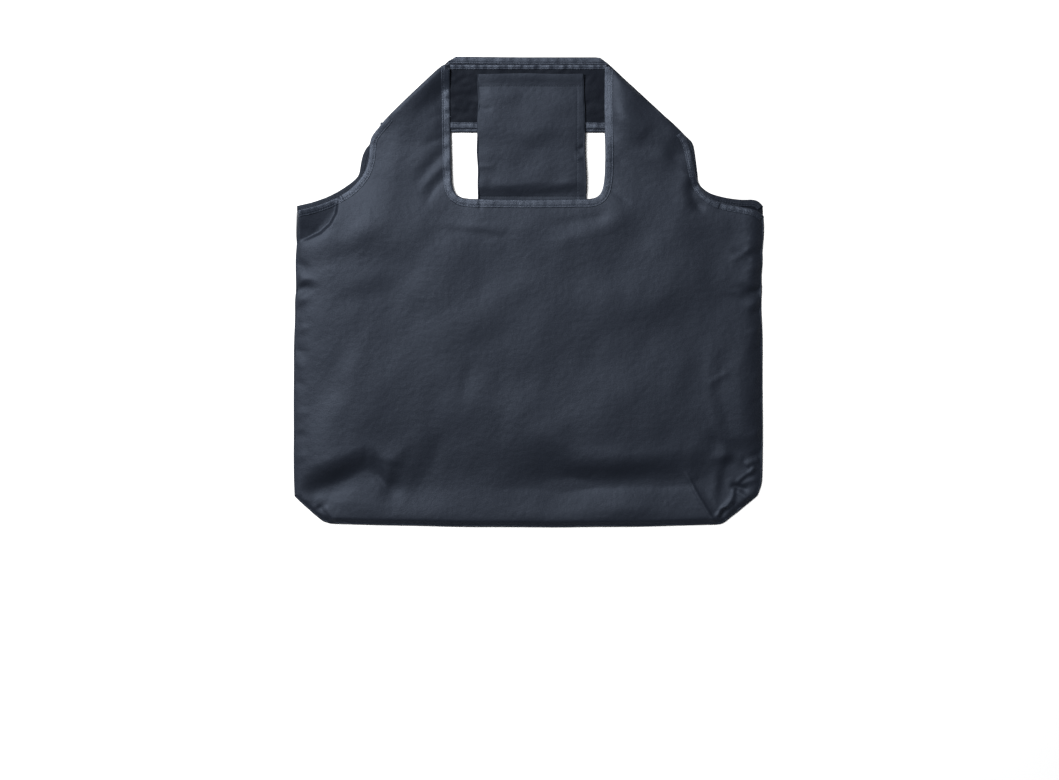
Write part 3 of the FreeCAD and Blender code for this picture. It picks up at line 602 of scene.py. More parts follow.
def joined(parts):
    v = np.vstack([p[0] for p in parts])
    off, fs, tags = 0, [], []
    for i, p in enumerate(parts):
        fs.append(p[1] + off)
        tags += [p[3]] * len(p[1])
        off += len(p[0])
    f, uv = np.vstack(fs), np.vstack([p[2] for p in parts])
    key = np.round(v * 2e6).astype(np.int64)
    _, first, inverse = np.unique(key, axis=0, return_index=True, return_inverse=True)
    f = inverse.reshape(-1)[f]
    v, uv = v[first], uv[first]
    good = (f[:, 0] != f[:, 1]) & (f[:, 1] != f[:, 2]) & (f[:, 0] != f[:, 2])
    f, tags = f[good], np.array(tags)[good]
    return dict(v=v, f=f, uv=uv, n=vertex_normals(v, f), tag=tags)


def layer_with_handle(arm_l, diag_l, hole_l, mouth, hole_r, diag_r, arm_r, side_r, base, side_l, bar_y, height, bar_height, cuts, step):
    al, ar = rounded(arm_l, step), rounded(arm_r, step)
    dl, dr = rounded(diag_l, step, 1), rounded(diag_r, step, 1)
    hl, hr = rounded(hole_l, step), rounded(hole_r, step)
    mo = rounded(mouth, step, 1)
    sr, ba, sl = rounded(side_r, step), rounded(base, step, 1), rounded(side_l, step)
    outline = np.vstack([al, dl[1:], hl, mo[1:], hr[1:], dr, ar[::-1][1:], sr[1:], ba[1:], sl[1:-1]])
    v2, tri, z = build_layer(outline, cuts, step, height)
    main = (lift(v2, z), tri, uv_of(v2), "main")
    extra = []
    for diag, left in ((dl, True), (dr, False)):
        top_y = bar_y[0]
        d = diag
        v, f, uv = folded_half(d, height, bar_y, bar_height, X0, left, step)
        extra.append((v, f, uv, "roll"))
    # the bar: bounded by the same two fold lines
    low = bar_y[1]
    dl_b, dr_b = dl, dr
    top = even([dl_b[-1], (dl_b[-1][0] + 4, bar_y[0]), (dr_b[0][0] - 4, bar_y[0]), dr_b[0]], step)
    bottom = even([dr_b[-1], (dr_b[-1][0] - 6, low), (dl_b[0][0] + 6, low), dl_b[0]], step)
    bar_outline = np.vstack([dl_b, top[1:], dr_b[1:], bottom[1:-1]])
    bv, bt = triangulate(bar_outline, step * 1.15)
    bt = bt[:, ::-1]  # the bar shows the cloth's other face
    bz = bar_height(bv[:, 0], bv[:, 1])
    # turned through the fold, so its weave runs the other way
    buv = uv_of(bv)[:, ::-1] + 0.37
    extra.append((lift(bv, bz), bt[:, ::-1], buv, "bar"))
    return joined([main] + extra)


front_cuts = [[(X0, 199), (X0, LIFT_Y)], [(290, LIFT_Y), (768, LIFT_Y)],
              [(339.3, 190), (339.3, STRAP_Y), (458, STRAP_Y), (458, 190)],
              [(717.9, 190), (717.9, STRAP_Y), (599, STRAP_Y), (599, 190)]]
FRONT = layer_with_handle(ARM_L, DIAG_L, HOLE_L, MOUTH, HOLE_R, DIAG_R, ARM_R, SIDE_R, BASE, SIDE_L, FRONT_BAR_Y,
                          front_height, front_bar_height, front_cuts, STEP)


def shrink(line, by):
    c = np.array([529.0, 360.0])
    p = np.asarray(line, float)
    d = p - c
    return (p - by * d / np.linalg.norm(d, axis=1, keepdims=True)).tolist()


back_cuts = [[(290, STRAP_Y), (768, STRAP_Y)]]
BACK = layer_with_handle(B_ARM_L, B_DIAG_L, [(453.5, 58.3)] + HOLE_L[1:], MOUTH, HOLE_R[:-1] + [(600.5, 58.8)], B_DIAG_R, B_ARM_R,
                         [(762.6, 207)] + shrink(SIDE_R[1:-1], 0.4) + [(757, 495)], BASE, [(295, 496)] + shrink(SIDE_L[1:-1], 0.4) + [(297, 206.5)],
                         BACK_BAR_Y, back_height, back_bar_height, back_cuts, STEP * 1.7)


def centres(mesh):
    c = mesh["v"][mesh["f"]].mean(1)
    return c[:, 0] / UNIT / 1.0 + X0, Y0 - c[:, 1] / UNIT, c


fx, fy, fc = centres(FRONT)
main = FRONT["tag"] == "main"
lower = main & (fy > LIFT_Y)
strap_l = main & (fx < X0) & ((fy < 195) | ((fy < STRAP_Y) & (fx > 339.3) & (fx < 458))) & ~((fx < 339.3))
strap_r = main & (fx > X0) & ((fy < 195) | ((fy < STRAP_Y) & (fx < 717.9) & (fx > 599))) & ~((fx > 717.9))
straps = strap_l | strap_r
upper_l = main & ~lower & ~straps & (fx < X0)
upper_r = main & ~lower & ~straps & (fx >= X0)
bar = FRONT["tag"] == "bar"
handle = straps | (FRONT["tag"] == "roll")

front_lower = take("front_panel_lower_cloth", FRONT, lower, SHELL)
front_left = take("front_panel_left_cloth", FRONT, upper_l, SHELL)
front_right = take("front_panel_right_cloth", FRONT, upper_r, SHELL)
front_loop = take("front_handle_cloth", FRONT, handle, SHELL)
# the bar's dark inner-face material is partly painted shade of the bar lying low in the hand hole
front_bar = take("front_handle_bar_cloth", FRONT, bar, INNER_FACE_AND_SHADE)

bx, by, bc = centres(BACK)
bmain = BACK["tag"] == "main"
bstraps = bmain & (by < STRAP_Y)
# the back's strap roots are cut apart from its shoulders, which stay in the panel's piece
back_panel = take("back_panel_cloth", BACK, bmain & ~bstraps, SHELL)
# the back handle's dark inner-face material is partly painted shade
back_loop = take("back_handle_cloth", BACK, bstraps | ~bmain, INNER_FACE_AND_SHADE)


def area(ob):
    v = np.array([p.co for p in ob.data.vertices])
    f = np.array([p.vertices[:] for p in ob.data.polygons])
    return float(np.linalg.norm(np.cross(v[f[:, 1]] - v[f[:, 0]], v[f[:, 2]] - v[f[:, 0]]), axis=1).sum() / 2)


# ---------------------------------------------------------------------------
# Bound edges: a folded tape with a sunk row of stitches, and the stitches
# ---------------------------------------------------------------------------
def tape_piece(name, line, inward, width, height, seed, material, wave=0.18, thick=1.25, step=1.2, row=0.78, rows=1, clear=0.0, puffs=17.0):
    """line is the bound edge in layout units; inward is +1 when the cloth lies to its left as drawn."""
    p = even(line, step)
    t = np.gradient(p, axis=0)
    for _ in range(2):
        t[1:-1] = (t[:-2] + t[1:-1] * 2 + t[2:]) / 4
    t /= np.linalg.norm(t, axis=1, keepdims=True)
    n = np.stack([t[:, 1], -t[:, 0]], 1) * inward
    w = width / 1.03
    prof = [(-0.10, 0.0), (-0.06, 0.62), (0.08, 0.95), (0.28, 1.0), (0.52, 0.94), (row - 0.09, 0.84), (row, 0.40), (row + 0.08, 0.78), (0.96, 0.66), (1.0, 0.30),
            (1.0, -0.35), (0.7, -0.75), (0.3, -0.95), (0.02, -0.75)]
    s = np.arange(len(p)) * step
    rng = np.random.default_rng(seed)
    ph = rng.uniform(0, 6.28, 4)
    ripple = np.sin(s * 2 * math.pi / puffs + ph[0] + 1.6 * np.sin(s / 31 + ph[1])) * 0.6 + np.sin(s * 2 * math.pi / (puffs * 0.43) + ph[2]) * 0.4
    base = height(p[:, 0] + n[:, 0] * w * 0.5, p[:, 1] + n[:, 1] * w * 0.5)
    inner = height(p[:, 0] + n[:, 0] * w, p[:, 1] + n[:, 1] * w)
    edge = height(p[:, 0] + n[:, 0] * 0.3, p[:, 1] + n[:, 1] * 0.3)
    verts, uvs = [], []
    half = thick / 2
    for u, h in prof:
        q = p + n * (u * w + 0.10 * ripple[:, None] * (1 if u > 0.5 else 0.6))
        zb = np.where(u < 0.5, edge + (base - edge) * (u / 0.5), base + (inner - base) * ((u - 0.5) / 0.5))
        z = zb + h * half * (1 + (0.16 if h > 0 else 0) * ripple * (0.5 + 0.5 * math.sin(min(max(u, 0), 1) * math.pi))) + wave * ripple * 0.5 * (1 if h > 0 else 0.3) + clear
        verts.append(lift(q, np.maximum(z, 0.05)))
        uvs.append(np.column_stack([s * UNIT, np.full(len(s), u * width * 1e-3)]))
    k, m = len(prof), len(p)
    v = np.vstack(verts)
    uv = np.vstack(uvs)
    faces = []
    for i in range(k):
        i2 = (i + 1) % k
        for j in range(m - 1):
            a, b, c, d = i * m + j, i * m + j + 1, i2 * m + j + 1, i2 * m + j
            faces.append((a, d, c, b) if inward > 0 else (a, b, c, d))
    ob = make(name, v, faces + [tuple(i * m for i in range(k))][:0], uv, None, material)
    # end caps
    import bmesh
    bm = bmesh.new(); bm.from_mesh(ob.data)
    bm.verts.ensure_lookup_table()
    for j in (0, m - 1):
        try:
            bm.faces.new([bm.verts[i * m + j] for i in range(k)])
        except ValueError:
            pass
    bmesh.ops.recalc_face_normals(bm, faces=bm.faces)
    for fc_ in bm.faces:
        fc_.smooth = True
    bm.to_mesh(ob.data); bm.free()
    # stitches
    sv, sf, suv = [], [], []
    length = 2.7 / 1.03
    for r_i in range(rows):
        u = row - r_i * 0.26
        total = s[-1]
        pos = 0.9
        while pos < total - length:
            seg = np.linspace(pos, pos + length * 0.8, 4)
            cx = np.stack([np.interp(seg, s, (p + n * u * w)[:, i]) for i in (0, 1)], 1)
            top = np.interp(seg, s, np.where(u < 0.5, edge + (base - edge) * (u / 0.5), base + (inner - base) * ((u - 0.5) / 0.5)) + (0.42 if r_i == 0 else 0.80) * half + wave * ripple * 0.5) + clear
            hump = np.array([-0.12, 0.16, 0.16, -0.12])
            tt = cx[-1] - cx[0]
            tt = tt / max(np.linalg.norm(tt), 1e-9)
            nn = np.array([tt[1], -tt[0]])
            b0 = len(sv)
            for q in range(4):
                for a in range(5):
                    an = 2 * math.pi * a / 5
                    rr = 0.27 if q in (1, 2) else 0.16
                    pt = cx[q] + nn * rr * math.cos(an)
                    xy = to_m(pt)
                    sv.append((xy[0], xy[1], (top[q] + hump[q] + rr * math.sin(an)) * 1e-3))
                    suv.append((seg[q] * UNIT, a * 0.0001))
            for q in range(3):
                for a in range(5):
                    a2 = (a + 1) % 5
                    sf.append((b0 + q * 5 + a, b0 + q * 5 + a2, b0 + (q + 1) * 5 + a2, b0 + (q + 1) * 5 + a))
            pos += length
    st = make(name + "_stitches", sv, sf, suv, None, THREAD)
    return ob, st


front_z = front_height
PARTS = []


def tucked(pair, *diagonals):
    """Turn under whatever reaches past a 45 degree fold, so the binding ends at the fold."""
    for ob in pair:
        n = len(ob.data.vertices)
        co = np.empty(n * 3)
        ob.data.vertices.foreach_get("co", co)
        co = co.reshape(-1, 3)
        x, y = co[:, 0] / UNIT + X0, Y0 - co[:, 1] / UNIT
        for line in diagonals:
            line = np.asarray(line, float)
            first, last = line[0] - (line[1] - line[0]) * 3, line[-1] + (line[-1] - line[-2]) * 3
            line = np.vstack([first, line, last])
            d, t, side = near(x, y, line)
            centre = near(np.array([529.0]), np.array([160.0]), line)[2][0]
            ln = np.r_[0, np.cumsum(np.linalg.norm(np.diff(line, axis=0), axis=1))]
            q = np.stack([np.interp(t * ln[-1], ln, line[:, i]) for i in (0, 1)], 1)
            over = (side * centre < 0) & (t > 0.0) & (t < 1.0)
            x, y = np.where(over, q[:, 0], x), np.where(over, q[:, 1], y)
        co[:, 0], co[:, 1] = (x - X0) * UNIT, (Y0 - y) * UNIT
        ob.data.vertices.foreach_set("co", co.reshape(-1))
        ob.data.update()


def loop_line(*segs):
    out = [np.asarray(segs[0], float)]
    for s in segs[1:]:
        out.append(np.asarray(s, float)[1:])
    return np.vstack(out)


hole_line = loop_line(rounded(HOLE_L, 1.5), rounded(MOUTH, 1.5, 1), rounded(HOLE_R, 1.5))
TW = 7.9
f_inner = tape_piece("front_inner_edge_binding", hole_line, -1, TW, front_z, 1, TAPE, wave=0.10, thick=1.35)
f_arm_l = tape_piece("front_left_outer_binding", rounded(ARM_L + DIAG_L[1:2], 1.5)[30:], -1, 6.4, front_z, 2, TAPE, rows=2)
f_arm_r = tape_piece("front_right_outer_binding", rounded(ARM_R, 1.5)[30:], 1, 6.2, front_z, 3, TAPE, rows=2)
sh_l = tape_piece("front_left_shoulder_binding", rounded(ARM_L, 1.5)[:33], -1, 6.4, front_z, 2, TAPE, rows=2)
sh_r = tape_piece("front_right_shoulder_binding", rounded(ARM_R, 1.5)[:33], 1, 6.2, front_z, 3, TAPE, rows=2)

# the front bar's two bound edges, seen through the hand hole and above the pouch
fb = front_bar_height
f_bar_top = tape_piece("front_bar_top_binding", even([(447.5, FRONT_BAR_Y[0]), (607, FRONT_BAR_Y[0])], 1.5), -1, 4.6, lambda x, y: fb(x, y) + 0.15, 6, TAPE,
                       wave=0.55, puffs=17.0, thick=1.5, row=0.76)
f_bar_low = tape_piece("front_bar_bottom_binding", even([(607, FRONT_BAR_Y[1]), (380.5, FRONT_BAR_Y[1])], 1.5), -1, 6.4, lambda x, y: fb(x, y), 7, TAPE, wave=0.3)
bb = back_bar_height
b_bar_top = tape_piece("back_bar_top_binding", even([(447.5, BACK_BAR_Y[0] + 0.6), (455, BACK_BAR_Y[0]), (528, BACK_BAR_Y[0] + 0.7), (600, BACK_BAR_Y[0] + 0.9), (609, BACK_BAR_Y[0] + 1.4)], 1.5), -1, 6.6, bb, 8, TAPE, wave=0.3, puffs=21.0)
b_bar_low = tape_piece("back_bar_bottom_binding", even([(671, BACK_BAR_Y[1]), (388, BACK_BAR_Y[1])], 1.5), -1, 6.4, bb, 9, TAPE, wave=0.2)
bz_ = back_height
b_inner = tape_piece("back_inner_edge_binding", loop_line(rounded([(453.5, 60)] + HOLE_L[1:], 2), rounded(MOUTH, 2, 1), rounded(HOLE_R[:-1] + [(600.5, 61)], 2)),
                     -1, TW, lambda x, y: bz_(x, y) + 0.1, 11, TAPE, wave=0.1, step=2.0, thick=0.9)
bl, br = rounded(B_ARM_L, 1.5), rounded(B_ARM_R, 1.5)
# the back's armhole bindings take the darker copy of the tape, which is painted shade
b_arm_l = tape_piece("back_left_outer_binding", bl, -1, 6.4, lambda x, y: bz_(x, y) + 0.1, 12, TAPE_SHADED, wave=0.12, step=1.6, thick=1.0, rows=2)
b_arm_r = tape_piece("back_right_outer_binding", br, 1, 6.4, lambda x, y: bz_(x, y) + 0.1, 13, TAPE_SHADED, wave=0.12, step=1.6, thick=1.0, rows=2)

# ---------------------------------------------------------------------------
# Side and base seams: the soft rolled edge where front and back are sewn
# ---------------------------------------------------------------------------
def seam_roll(name, line, seed, material, radius=0.62, step=1.3):
    p = even(line, step)
    t = np.gradient(p, axis=0)
    t /= np.linalg.norm(t, axis=1, keepdims=True)
    n = np.stack([t[:, 1], -t[:, 0]], 1)
    inward = np.sign(((np.array([529.0, 360.0]) - p) * n).sum(1))[:, None]
    n = n * inward
    s = np.arange(len(p)) * step
    rng = np.random.default_rng(seed)
    ph = rng.uniform(0, 6.28, 4)
    pucker = 0.5 * np.sin(s * 2 * math.pi / 9.3 + ph[0] + 1.4 * np.sin(s / 23 + ph[1])) + 0.5 * np.sin(s * 2 * math.pi / 3.9 + ph[2])
    zf, zb = front_height(p[:, 0] + n[:, 0], p[:, 1] + n[:, 1]), back_height(p[:, 0] + n[:, 0], p[:, 1] + n[:, 1])
    zc = np.maximum(0.5 * (np.minimum(zf, 1.3) + zb), 0.75)
    verts, uvs, k = [], [], 12
    for i in range(k):
        a = 2 * math.pi * i / k
        r = radius * (1 + 0.22 * pucker * (math.sin(a) > 0))
        q = p + n * (0.75 - 1.15 * math.cos(a))
        verts.append(lift(q, np.maximum(zc + r * math.sin(a), 0.04)))
        uvs.append(np.column_stack([s * UNIT, np.full(len(s), a * radius * 1e-3)]))
    m = len(p)
    faces = [(i * m + j, i * m + j + 1, ((i + 1) % k) * m + j + 1, ((i + 1) % k) * m + j) for i in range(k) for j in range(m - 1)]
    faces += [tuple(i * m for i in range(k)), tuple(i * m + m - 1 for i in reversed(range(k)))]
    ob = make(name, np.vstack(verts), faces, np.vstack(uvs), None, material)
    import bmesh
    bm = bmesh.new(); bm.from_mesh(ob.data); bmesh.ops.recalc_face_normals(bm, faces=bm.faces); bm.to_mesh(ob.data); bm.free()
    return ob


seam_l = seam_roll("left_side_seam_edge", rounded(SIDE_L, 1.5), 51, SHELL)
seam_r = seam_roll("right_side_seam_edge", rounded(SIDE_R, 1.5), 52, SHELL)
seam_b = seam_roll("base_seam_edge", rounded(BASE, 1.5, 1)[6:-6], 53, SHELL)
corner_l = seam_roll("left_corner_seam_edge", rounded(BASE, 1.5, 1)[-24:], 54, SHELL)
corner_r = seam_roll("right_corner_seam_edge", rounded(BASE, 1.5, 1)[:28], 55, SHELL)

# ---------------------------------------------------------------------------
# The pouch
# ---------------------------------------------------------------------------
PX0, PX1, PY0, PY1 = POUCH["x0"], POUCH["x1"], POUCH["y0"], 204.5


def pouch_edges(y):
    left = PX0 + 0.5 * np.sin(y / 13.0) + 0.25 * np.sin(y / 5.1) + 0.9 * smooth01(110, 75, y) * 0.4
    right = PX1 - 0.9 * (1 - smooth01(75, 150, y)) + 1.0 * smooth01(150, 200, y) + 0.35 * np.sin(y / 9.0 + 1)
    return left, right


def pouch_height(x, y):
    z = 4.4 + 0.45 * (1 - smooth01(126, 140, y))
    z = z - 0.9 * smooth01(133, 150, y) + 0.0 * x
    lx, rx = pouch_edges(y)
    e = np.minimum(x - lx, rx - x)
    z = z + 0.9 * (1 - np.exp(-((np.maximum(e, 0) / 9.0) ** 1.3)))
    z = z - 2.4 * smooth01(182, 199, y + 0.10 * (x - 530) * smooth01(480, 575, 1055 - x))
    f = fold(x, y, [(481, 184), (500, 188), (530, 187), (556, 182), (584, 172)], -1.1, 9, 5.5, 1.8, (0.1, 0.25))
    f = f + fold(x, y, [(484, 176), (510, 178), (540, 173), (570, 160)], 0.35, 8, 10, 2.0, (0.2, 0.3))
    f = f + fold(x, y, [(493, 160), (515, 146), (536, 132), (556, 120)], 0.4, 11, 9, 2.0, (0.3, 0.3))
    f = f + fold(x, y, [(508, 167), (530, 156), (548, 143), (560, 128)], -0.25, 7, 8, 2.0, (0.3, 0.3))
    f = f + fold(x, y, [(481, 92), (500, 97), (524, 96)], 0.5, 6, 8, 2.0, (0.2, 0.3))
    f = f + fold(x, y, [(576, 152), (581, 148), (586, 147)], -0.8, 2.6, 3.2, 1.8, (0.3, 0.0))
    f = f + fold(x, y, [(574, 160), (580, 157), (586, 156)], 0.5, 3, 3, 1.8, (0.3, 0.0))
    f = f + fold(x, y, [(478, 168), (486, 166), (497, 169)], 0.5, 3, 4, 1.8, (0.0, 0.4))
    f = f + fold(x, y, [(478, 108), (485, 110), (494, 108)], -0.4, 3, 3, 1.8, (0.0, 0.4))
    f = f + blob(x, y, 540, 112, 30, 20, 0.6, -20)
    for cx, cy, rx, ry, deg, turn in ((530, 81, 80, 9, 13, 0), (503, 191, 30, 8.5, 17, 3), (550, 189, 34, 9, 14, -7), (575, 178, 12, 10, 4, -30),
                                      (500, 130, 20, 40, 1.5, 0), (560, 90, 26, 10, 3, 0), (540, 150, 34, 18, 1.6, -35), (520, 112, 30, 16, -2, -10)):
        f = f + lean(x, y, cx, cy, rx, ry, deg, turn)
    f = f + 0.35 * noise(x, y, 19, 71) + 0.14 * noise(x, y, 8, 72, (1.5, 1), 30) + 0.04 * noise(x, y, 3.5, 73)
    # the sewn hem at the top and the seam strip on the right
    f = f + fold(x, y, [(470, 86.8), (592, 86.8)], -0.12, 0.9, 0.9, 2.0, (0, 0)) + 0.10 * (1 - smooth01(85.6, 87.4, y))
    f = f - 0.13 * np.exp(-(((x - 577.2) / 0.9) ** 2)) * smooth01(88, 92, y) + 0.12 * smooth01(576.5, 578.5, x)
    f = f - 0.20 * np.exp(-(((y - 196.8) / 0.9) ** 2))
    return z + f


def grid_cloth(name, nx, ny, place, material, uvs=None):
    u, v = np.meshgrid(np.linspace(0, 1, nx), np.linspace(0, 1, ny))
    x, y, z = place(u.ravel(), v.ravel())
    idx = np.arange(nx * ny).reshape(ny, nx)
    q = np.stack([idx[:-1, :-1], idx[1:, :-1], idx[1:, 1:], idx[:-1, 1:]], -1).reshape(-1, 4)
    p2 = np.stack([x, y], 1)

    def at(du, dv):
        px, py, pz = place(u.ravel() + du, v.ravel() + dv)
        return lift(np.stack([px, py], 1), pz)

    e = 0.002
    n = np.cross(at(e, 0) - at(-e, 0), at(0, -e) - at(0, e))
    n /= np.linalg.norm(n, axis=1, keepdims=True)
    return make(name, lift(p2, z), q, uv_of(p2) if uvs is None else uvs, n, material), idx


def pouch_place(back):
    def place(u, v):
        y = PY0 + (PY1 - PY0) * v + (0.35 * np.sin(u * 9 + 1) * (1 - v) if not back else 0.9 * (1 - v))
        lx, rx = pouch_edges(y)
        x = lx + (rx - lx) * u
        if back:
            z = np.minimum(3.95 + 0.12 * noise(x, y, 9, 75) - 1.2 * smooth01(184, 200, y), pouch_height(x, y) - 0.4)
        else:
            z = pouch_height(x, y)
            e = np.maximum(np.minimum(u, 1 - u), 0) * (PX1 - PX0)
            z = np.where(e < 1.2, np.minimum(z, 4.15 + (z - 4.15) * np.clip(e / 1.2, 0, 1) ** 0.6), z)
        return x, y, z
    return place


pouch_l, _ = grid_cloth("pouch_front_left_cloth", 58, 112, lambda u, v: pouch_place(False)(u * 0.5, v), POUCH_M)
pouch_r, _ = grid_cloth("pouch_front_right_cloth", 58, 112, lambda u, v: pouch_place(False)(0.5 + u * 0.5, v), POUCH_M)
pouch_b, _ = grid_cloth("pouch_back_cloth", 54, 64, pouch_place(True), POUCH_M)


def stitch_row(name, line, height, length=2.6, radius=0.25, seed=0, every=None):
    p = even(line, 0.8)
    s = np.arange(len(p)) * np.linalg.norm(p[1] - p[0])
    sv, sf, suv = [], [], []
    L_ = length / 1.03
    pos = 0.6
    while pos < s[-1] - L_:
        seg = np.linspace(pos, pos + L_ * 0.8, 4)
        cx = np.stack([np.interp(seg, s, p[:, i]) for i in (0, 1)], 1)
        top = height(cx[:, 0], cx[:, 1]) + np.array([-0.10, 0.14, 0.14, -0.10])
        tt = cx[-1] - cx[0]; tt /= max(np.linalg.norm(tt), 1e-9)
        nn = np.array([tt[1], -tt[0]])
        b0 = len(sv)
        for q in range(4):
            rr = radius if q in (1, 2) else radius * 0.6
            for a in range(5):
                an = 2 * math.pi * a / 5
                xy = to_m(cx[q] + nn * rr * math.cos(an))
                sv.append((xy[0], xy[1], (top[q] + rr * math.sin(an)) * 1e-3))
                suv.append((seg[q] * UNIT, a * 1e-4))
        for q in range(3):
            for a in range(5):
                a2 = (a + 1) % 5
                sf.append((b0 + q * 5 + a, b0 + q * 5 + a2, b0 + (q + 1) * 5 + a2, b0 + (q + 1) * 5 + a))
        pos += L_
    return make(name, sv, sf, suv, None, THREAD)


p_hem = stitch_row("pouch_hem_stitches", [(PX0 + 1.5, 86.4), (PX1 - 1.5, 86.4)], lambda x, y: pouch_height(x, y) + 0.05)
p_seam = stitch_row("pouch_right_seam_stitches", [(577.4, 90), (577.6, 150), (578.2, 195)], lambda x, y: pouch_height(x, y) + 0.05)
p_low = stitch_row("pouch_bottom_stitches", [(PX0 + 2, 197), (PX1 - 2, 196.6)], lambda x, y: pouch_height(x, y) + 0.05)


def pouch_edge_roll(name, side):
    y = np.arange(PY0, PY1, 1.2)
    lx, rx = pouch_edges(y)
    x = lx if side < 0 else rx
    k, m = 10, len(y)
    verts, uvs = [], []
    for i in range(k):
        a = 2 * math.pi * i / k
        q = np.stack([x - side * (0.55 - 0.8 * math.cos(a)) , y], 1)
        zc = 4.05 - 1.1 * smooth01(184, 200, y) + 0.1 * np.sin(y / 2.1) + 0.08 * np.sin(y / 5.3)
        verts.append(lift(q, zc + 0.5 * math.sin(a)))
        uvs.append(np.column_stack([y * UNIT, np.full(m, a * 5e-4)]))
    faces = [(i * m + j, i * m + j + 1, ((i + 1) % k) * m + j + 1, ((i + 1) % k) * m + j) for i in range(k) for j in range(m - 1)]
    faces += [tuple(i * m for i in range(k)), tuple(i * m + m - 1 for i in reversed(range(k)))]
    ob = make(name, np.vstack(verts), faces, np.vstack(uvs), None, POUCH_M)
    import bmesh
    bm = bmesh.new(); bm.from_mesh(ob.data); bmesh.ops.recalc_face_normals(bm, faces=bm.faces); bm.to_mesh(ob.data); bm.free()
    return ob


p_roll_l = pouch_edge_roll("pouch_left_seam_edge", -1)
p_roll_r = pouch_edge_roll("pouch_right_seam_edge", 1)

# ---------------------------------------------------------------------------
# What each piece stands for and what it moves with
# ---------------------------------------------------------------------------
for pair in (f_inner, f_bar_top):
    tucked(pair, DIAG_L, DIAG_R)
for pair in (b_inner, b_bar_top, b_arm_l, b_arm_r):
    tucked(pair, B_DIAG_L, B_DIAG_R)
y_lift, y_fold, y_turn = -0.058, -0.078, 0.0947
for ob in (front_lower,):
    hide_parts("front_panel_lower", "front_panel_middle")
    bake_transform(ob)
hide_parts("front_panel_upper"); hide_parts("front_panel_upper")
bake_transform(front_left)
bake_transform(front_right)
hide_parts("front_left_strap", "front_right_strap", "front_handle_join_seam")
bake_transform(front_loop)
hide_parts("front_left_strap", "front_right_strap", "front_handle_join_seam")
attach(front_bar, "front_handle")
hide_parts("back_panel_upper", "back_panel_lower")
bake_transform(back_panel)
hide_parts("back_left_strap", "back_right_strap", "back_handle_join_seam")
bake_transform(back_loop)
for pair, nodes in ((f_inner, ("front_handle_inner_binding", "front_mouth_binding")), (f_arm_l, ("front_handle_outer_binding",)),
                    (f_arm_r, ("front_handle_outer_binding",))):
    for ob in pair:
        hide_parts(*nodes)
        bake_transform(ob)
for pair, node, s in ((sh_l, "front_left_armhole_binding", -1), (sh_r, "front_right_armhole_binding", 1)):
    for ob in pair:
        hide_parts(node)
        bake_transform(ob)
for pair, node in ((f_bar_top, "front_handle_inner_binding"), (f_bar_low, "front_handle_outer_binding")):
    for ob in pair:
        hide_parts(node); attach(ob, "front_handle")
for pair, node in ((b_bar_top, "back_handle_inner_binding"), (b_bar_low, "back_handle_outer_binding")):
    for ob in pair:
        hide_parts(node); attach(ob, "back_handle")
for pair, nodes in ((b_inner, ("back_handle_inner_binding", "back_mouth_binding")), (b_arm_l, ("back_handle_outer_binding", "back_left_armhole_binding")),
                    (b_arm_r, ("back_handle_outer_binding", "back_right_armhole_binding"))):
    for ob in pair:
        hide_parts(*nodes)
        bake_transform(ob)
for ob, nodes in ((seam_l, ("left_side_seam_upper", "left_side_seam_lower")), (seam_r, ("right_side_seam_upper", "right_side_seam_lower"))):
    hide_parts(*nodes)
    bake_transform(ob)
for ob, node in ((seam_b, "base_bottom_seam"), (corner_l, "left_corner_seam"), (corner_r, "right_corner_seam")):
    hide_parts(node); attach(ob, "bag_base")
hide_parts("pouch_back_panel", "pouch_back_hem", "pouch_bottom_seam", "pouch_seam_tab")
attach(pouch_b, "pouch")
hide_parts("pouch_left_seam"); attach(p_roll_l, "pouch")
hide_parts("pouch_right_seam"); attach(p_roll_r, "pouch")
px_m = [(PX0 - X0) * UNIT, (PX1 - X0) * UNIT]
for ob, a, b in ((pouch_l, px_m[0] + 0.001, -0.018), (pouch_r, px_m[1] - 0.001, 0.023)):
    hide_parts("pouch_front_panel", "pouch_front_hem")
    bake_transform(ob)
for ob in (p_seam, p_low):
    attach(ob, "pouch")
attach(p_hem, "pouch_front")

for ob, flat, held, rests in ((front_lower, (0.484, 0.184), "laid", [back_panel]), (front_left, (0.242, 0.155), "laid", [back_panel]),
                              (front_right, (0.242, 0.153), "laid", [back_panel]), (front_loop, None, "folded", [back_loop]), (front_bar, None, "folded", [back_loop]),
                              (back_panel, (0.484, 0.322), "laid", ["floor"]), (back_loop, None, "folded", ["floor"]),
                              (pouch_l, (0.055, 0.134), "laid", [pouch_b]), (pouch_r, (0.055, 0.134), "laid", [pouch_b]),
                              (pouch_b, (0.110, 0.133), "laid", [front_loop])):
    # the cloth was cut flat to its outline, before the creases were laid into it
    a = sum(f.area * abs(f.normal.z) for f in ob.data.polygons) if ob.data.polygons and len(ob.data.polygons[0].vertices) == 3 else None
    if flat is None:
        flat = (0.079, a / 0.079)

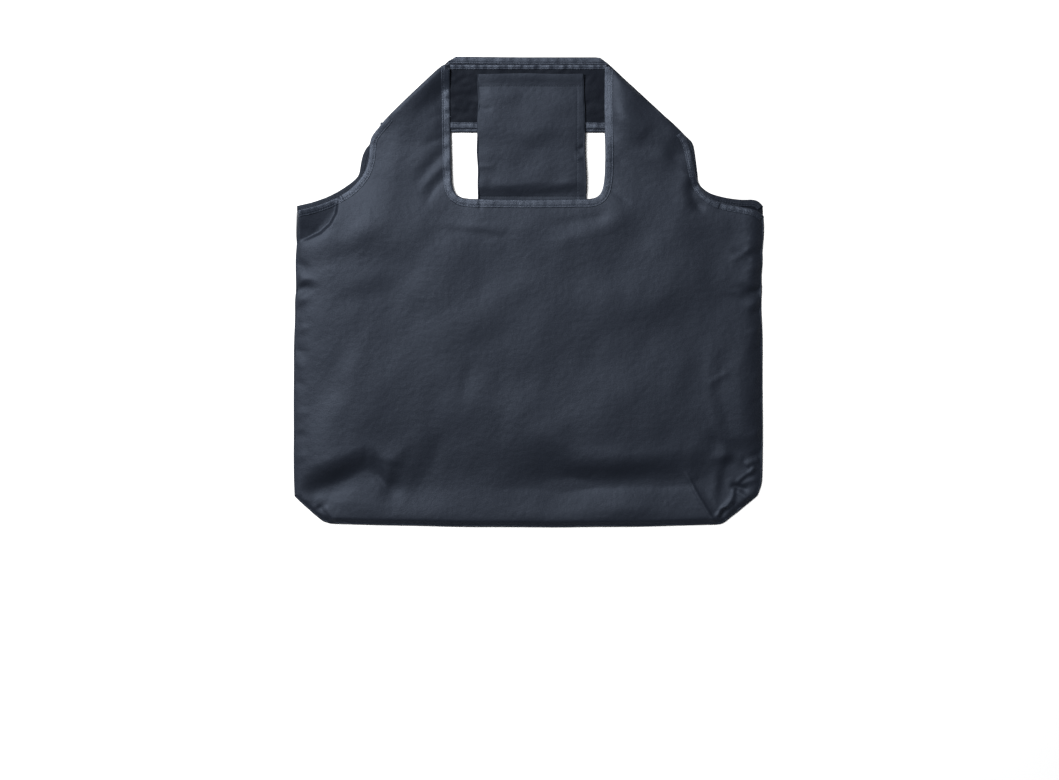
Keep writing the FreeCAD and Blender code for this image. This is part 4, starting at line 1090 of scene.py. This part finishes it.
# ---------------------------------------------------------------------------
# Floor, light and camera
# ---------------------------------------------------------------------------
floor = make("floor", [(-6, -6, 0), (6, -6, 0), (6, 6, 0), (-6, 6, 0)], [(0, 1, 2, 3)])
fm = bpy.data.materials.new("floor_paper"); fm.use_nodes = True
fb_ = fm.node_tree.nodes["Principled BSDF"]
fb_.inputs["Base Color"].default_value = (0.95, 0.95, 0.95, 1)
fb_.inputs["Roughness"].default_value = 0.9
fb_.inputs["Specular IOR Level"].default_value = 0.1
floor.data.materials.append(fm)

scene = bpy.context.scene
scene.view_settings.view_transform = "Standard"
scene.view_settings.look = "None"
scene.view_settings.exposure = 0.0
scene.view_settings.gamma = 1.0
world = bpy.data.worlds.new("studio"); scene.world = world; world.use_nodes = True
world.node_tree.nodes["Background"].inputs["Color"].default_value = (0.93, 0.96, 1.0, 1)
world.node_tree.nodes["Background"].inputs["Strength"].default_value = 0.07


def area_light(name, where, at, size, power, colour=(1, 1, 1)):
    ld = bpy.data.lights.new(name, "AREA")
    ld.shape, ld.size, ld.energy, ld.color = "DISK", size, power, colour
    ob = bpy.data.objects.new(name, ld)
    ob.location = where
    ob.rotation_euler = (Vector(at) - Vector(where)).to_track_quat("-Z", "Y").to_euler()
    scene.collection.objects.link(ob)
    return ob


def sun(name, azimuth, from_vertical, strength, angle, colour=(1, 1, 1)):
    ld = bpy.data.lights.new(name, "SUN")
    ld.energy, ld.angle, ld.color = strength, math.radians(angle), colour
    ob = bpy.data.objects.new(name, ld)
    t, a_ = math.radians(from_vertical), math.radians(azimuth)
    d = Vector((math.sin(t) * math.cos(a_), math.sin(t) * math.sin(a_), math.cos(t)))
    ob.location = d * 3
    ob.rotation_euler = d.to_track_quat("Z", "Y").to_euler()
    scene.collection.objects.link(ob)
    return ob


sun("key", 132, 33, 2.9, 24)
area_light("window", (-0.66, 0.60, 0.92), (0, 0, 0), 0.5, 15.0)

cam_data = bpy.data.cameras.new("camera")
cam_data.sensor_width = 36.0
DIST = 2.4
cam_data.lens = 36.0 * DIST / (1059 * UNIT)
cam = bpy.data.objects.new("camera", cam_data)
cam.location = ((529.5 - X0) * UNIT, (Y0 - 390.0) * UNIT, DIST)
cam.rotation_euler = (0, 0, 0)
cam_data.clip_end = 50
scene.collection.objects.link(cam)
scene.camera = cam
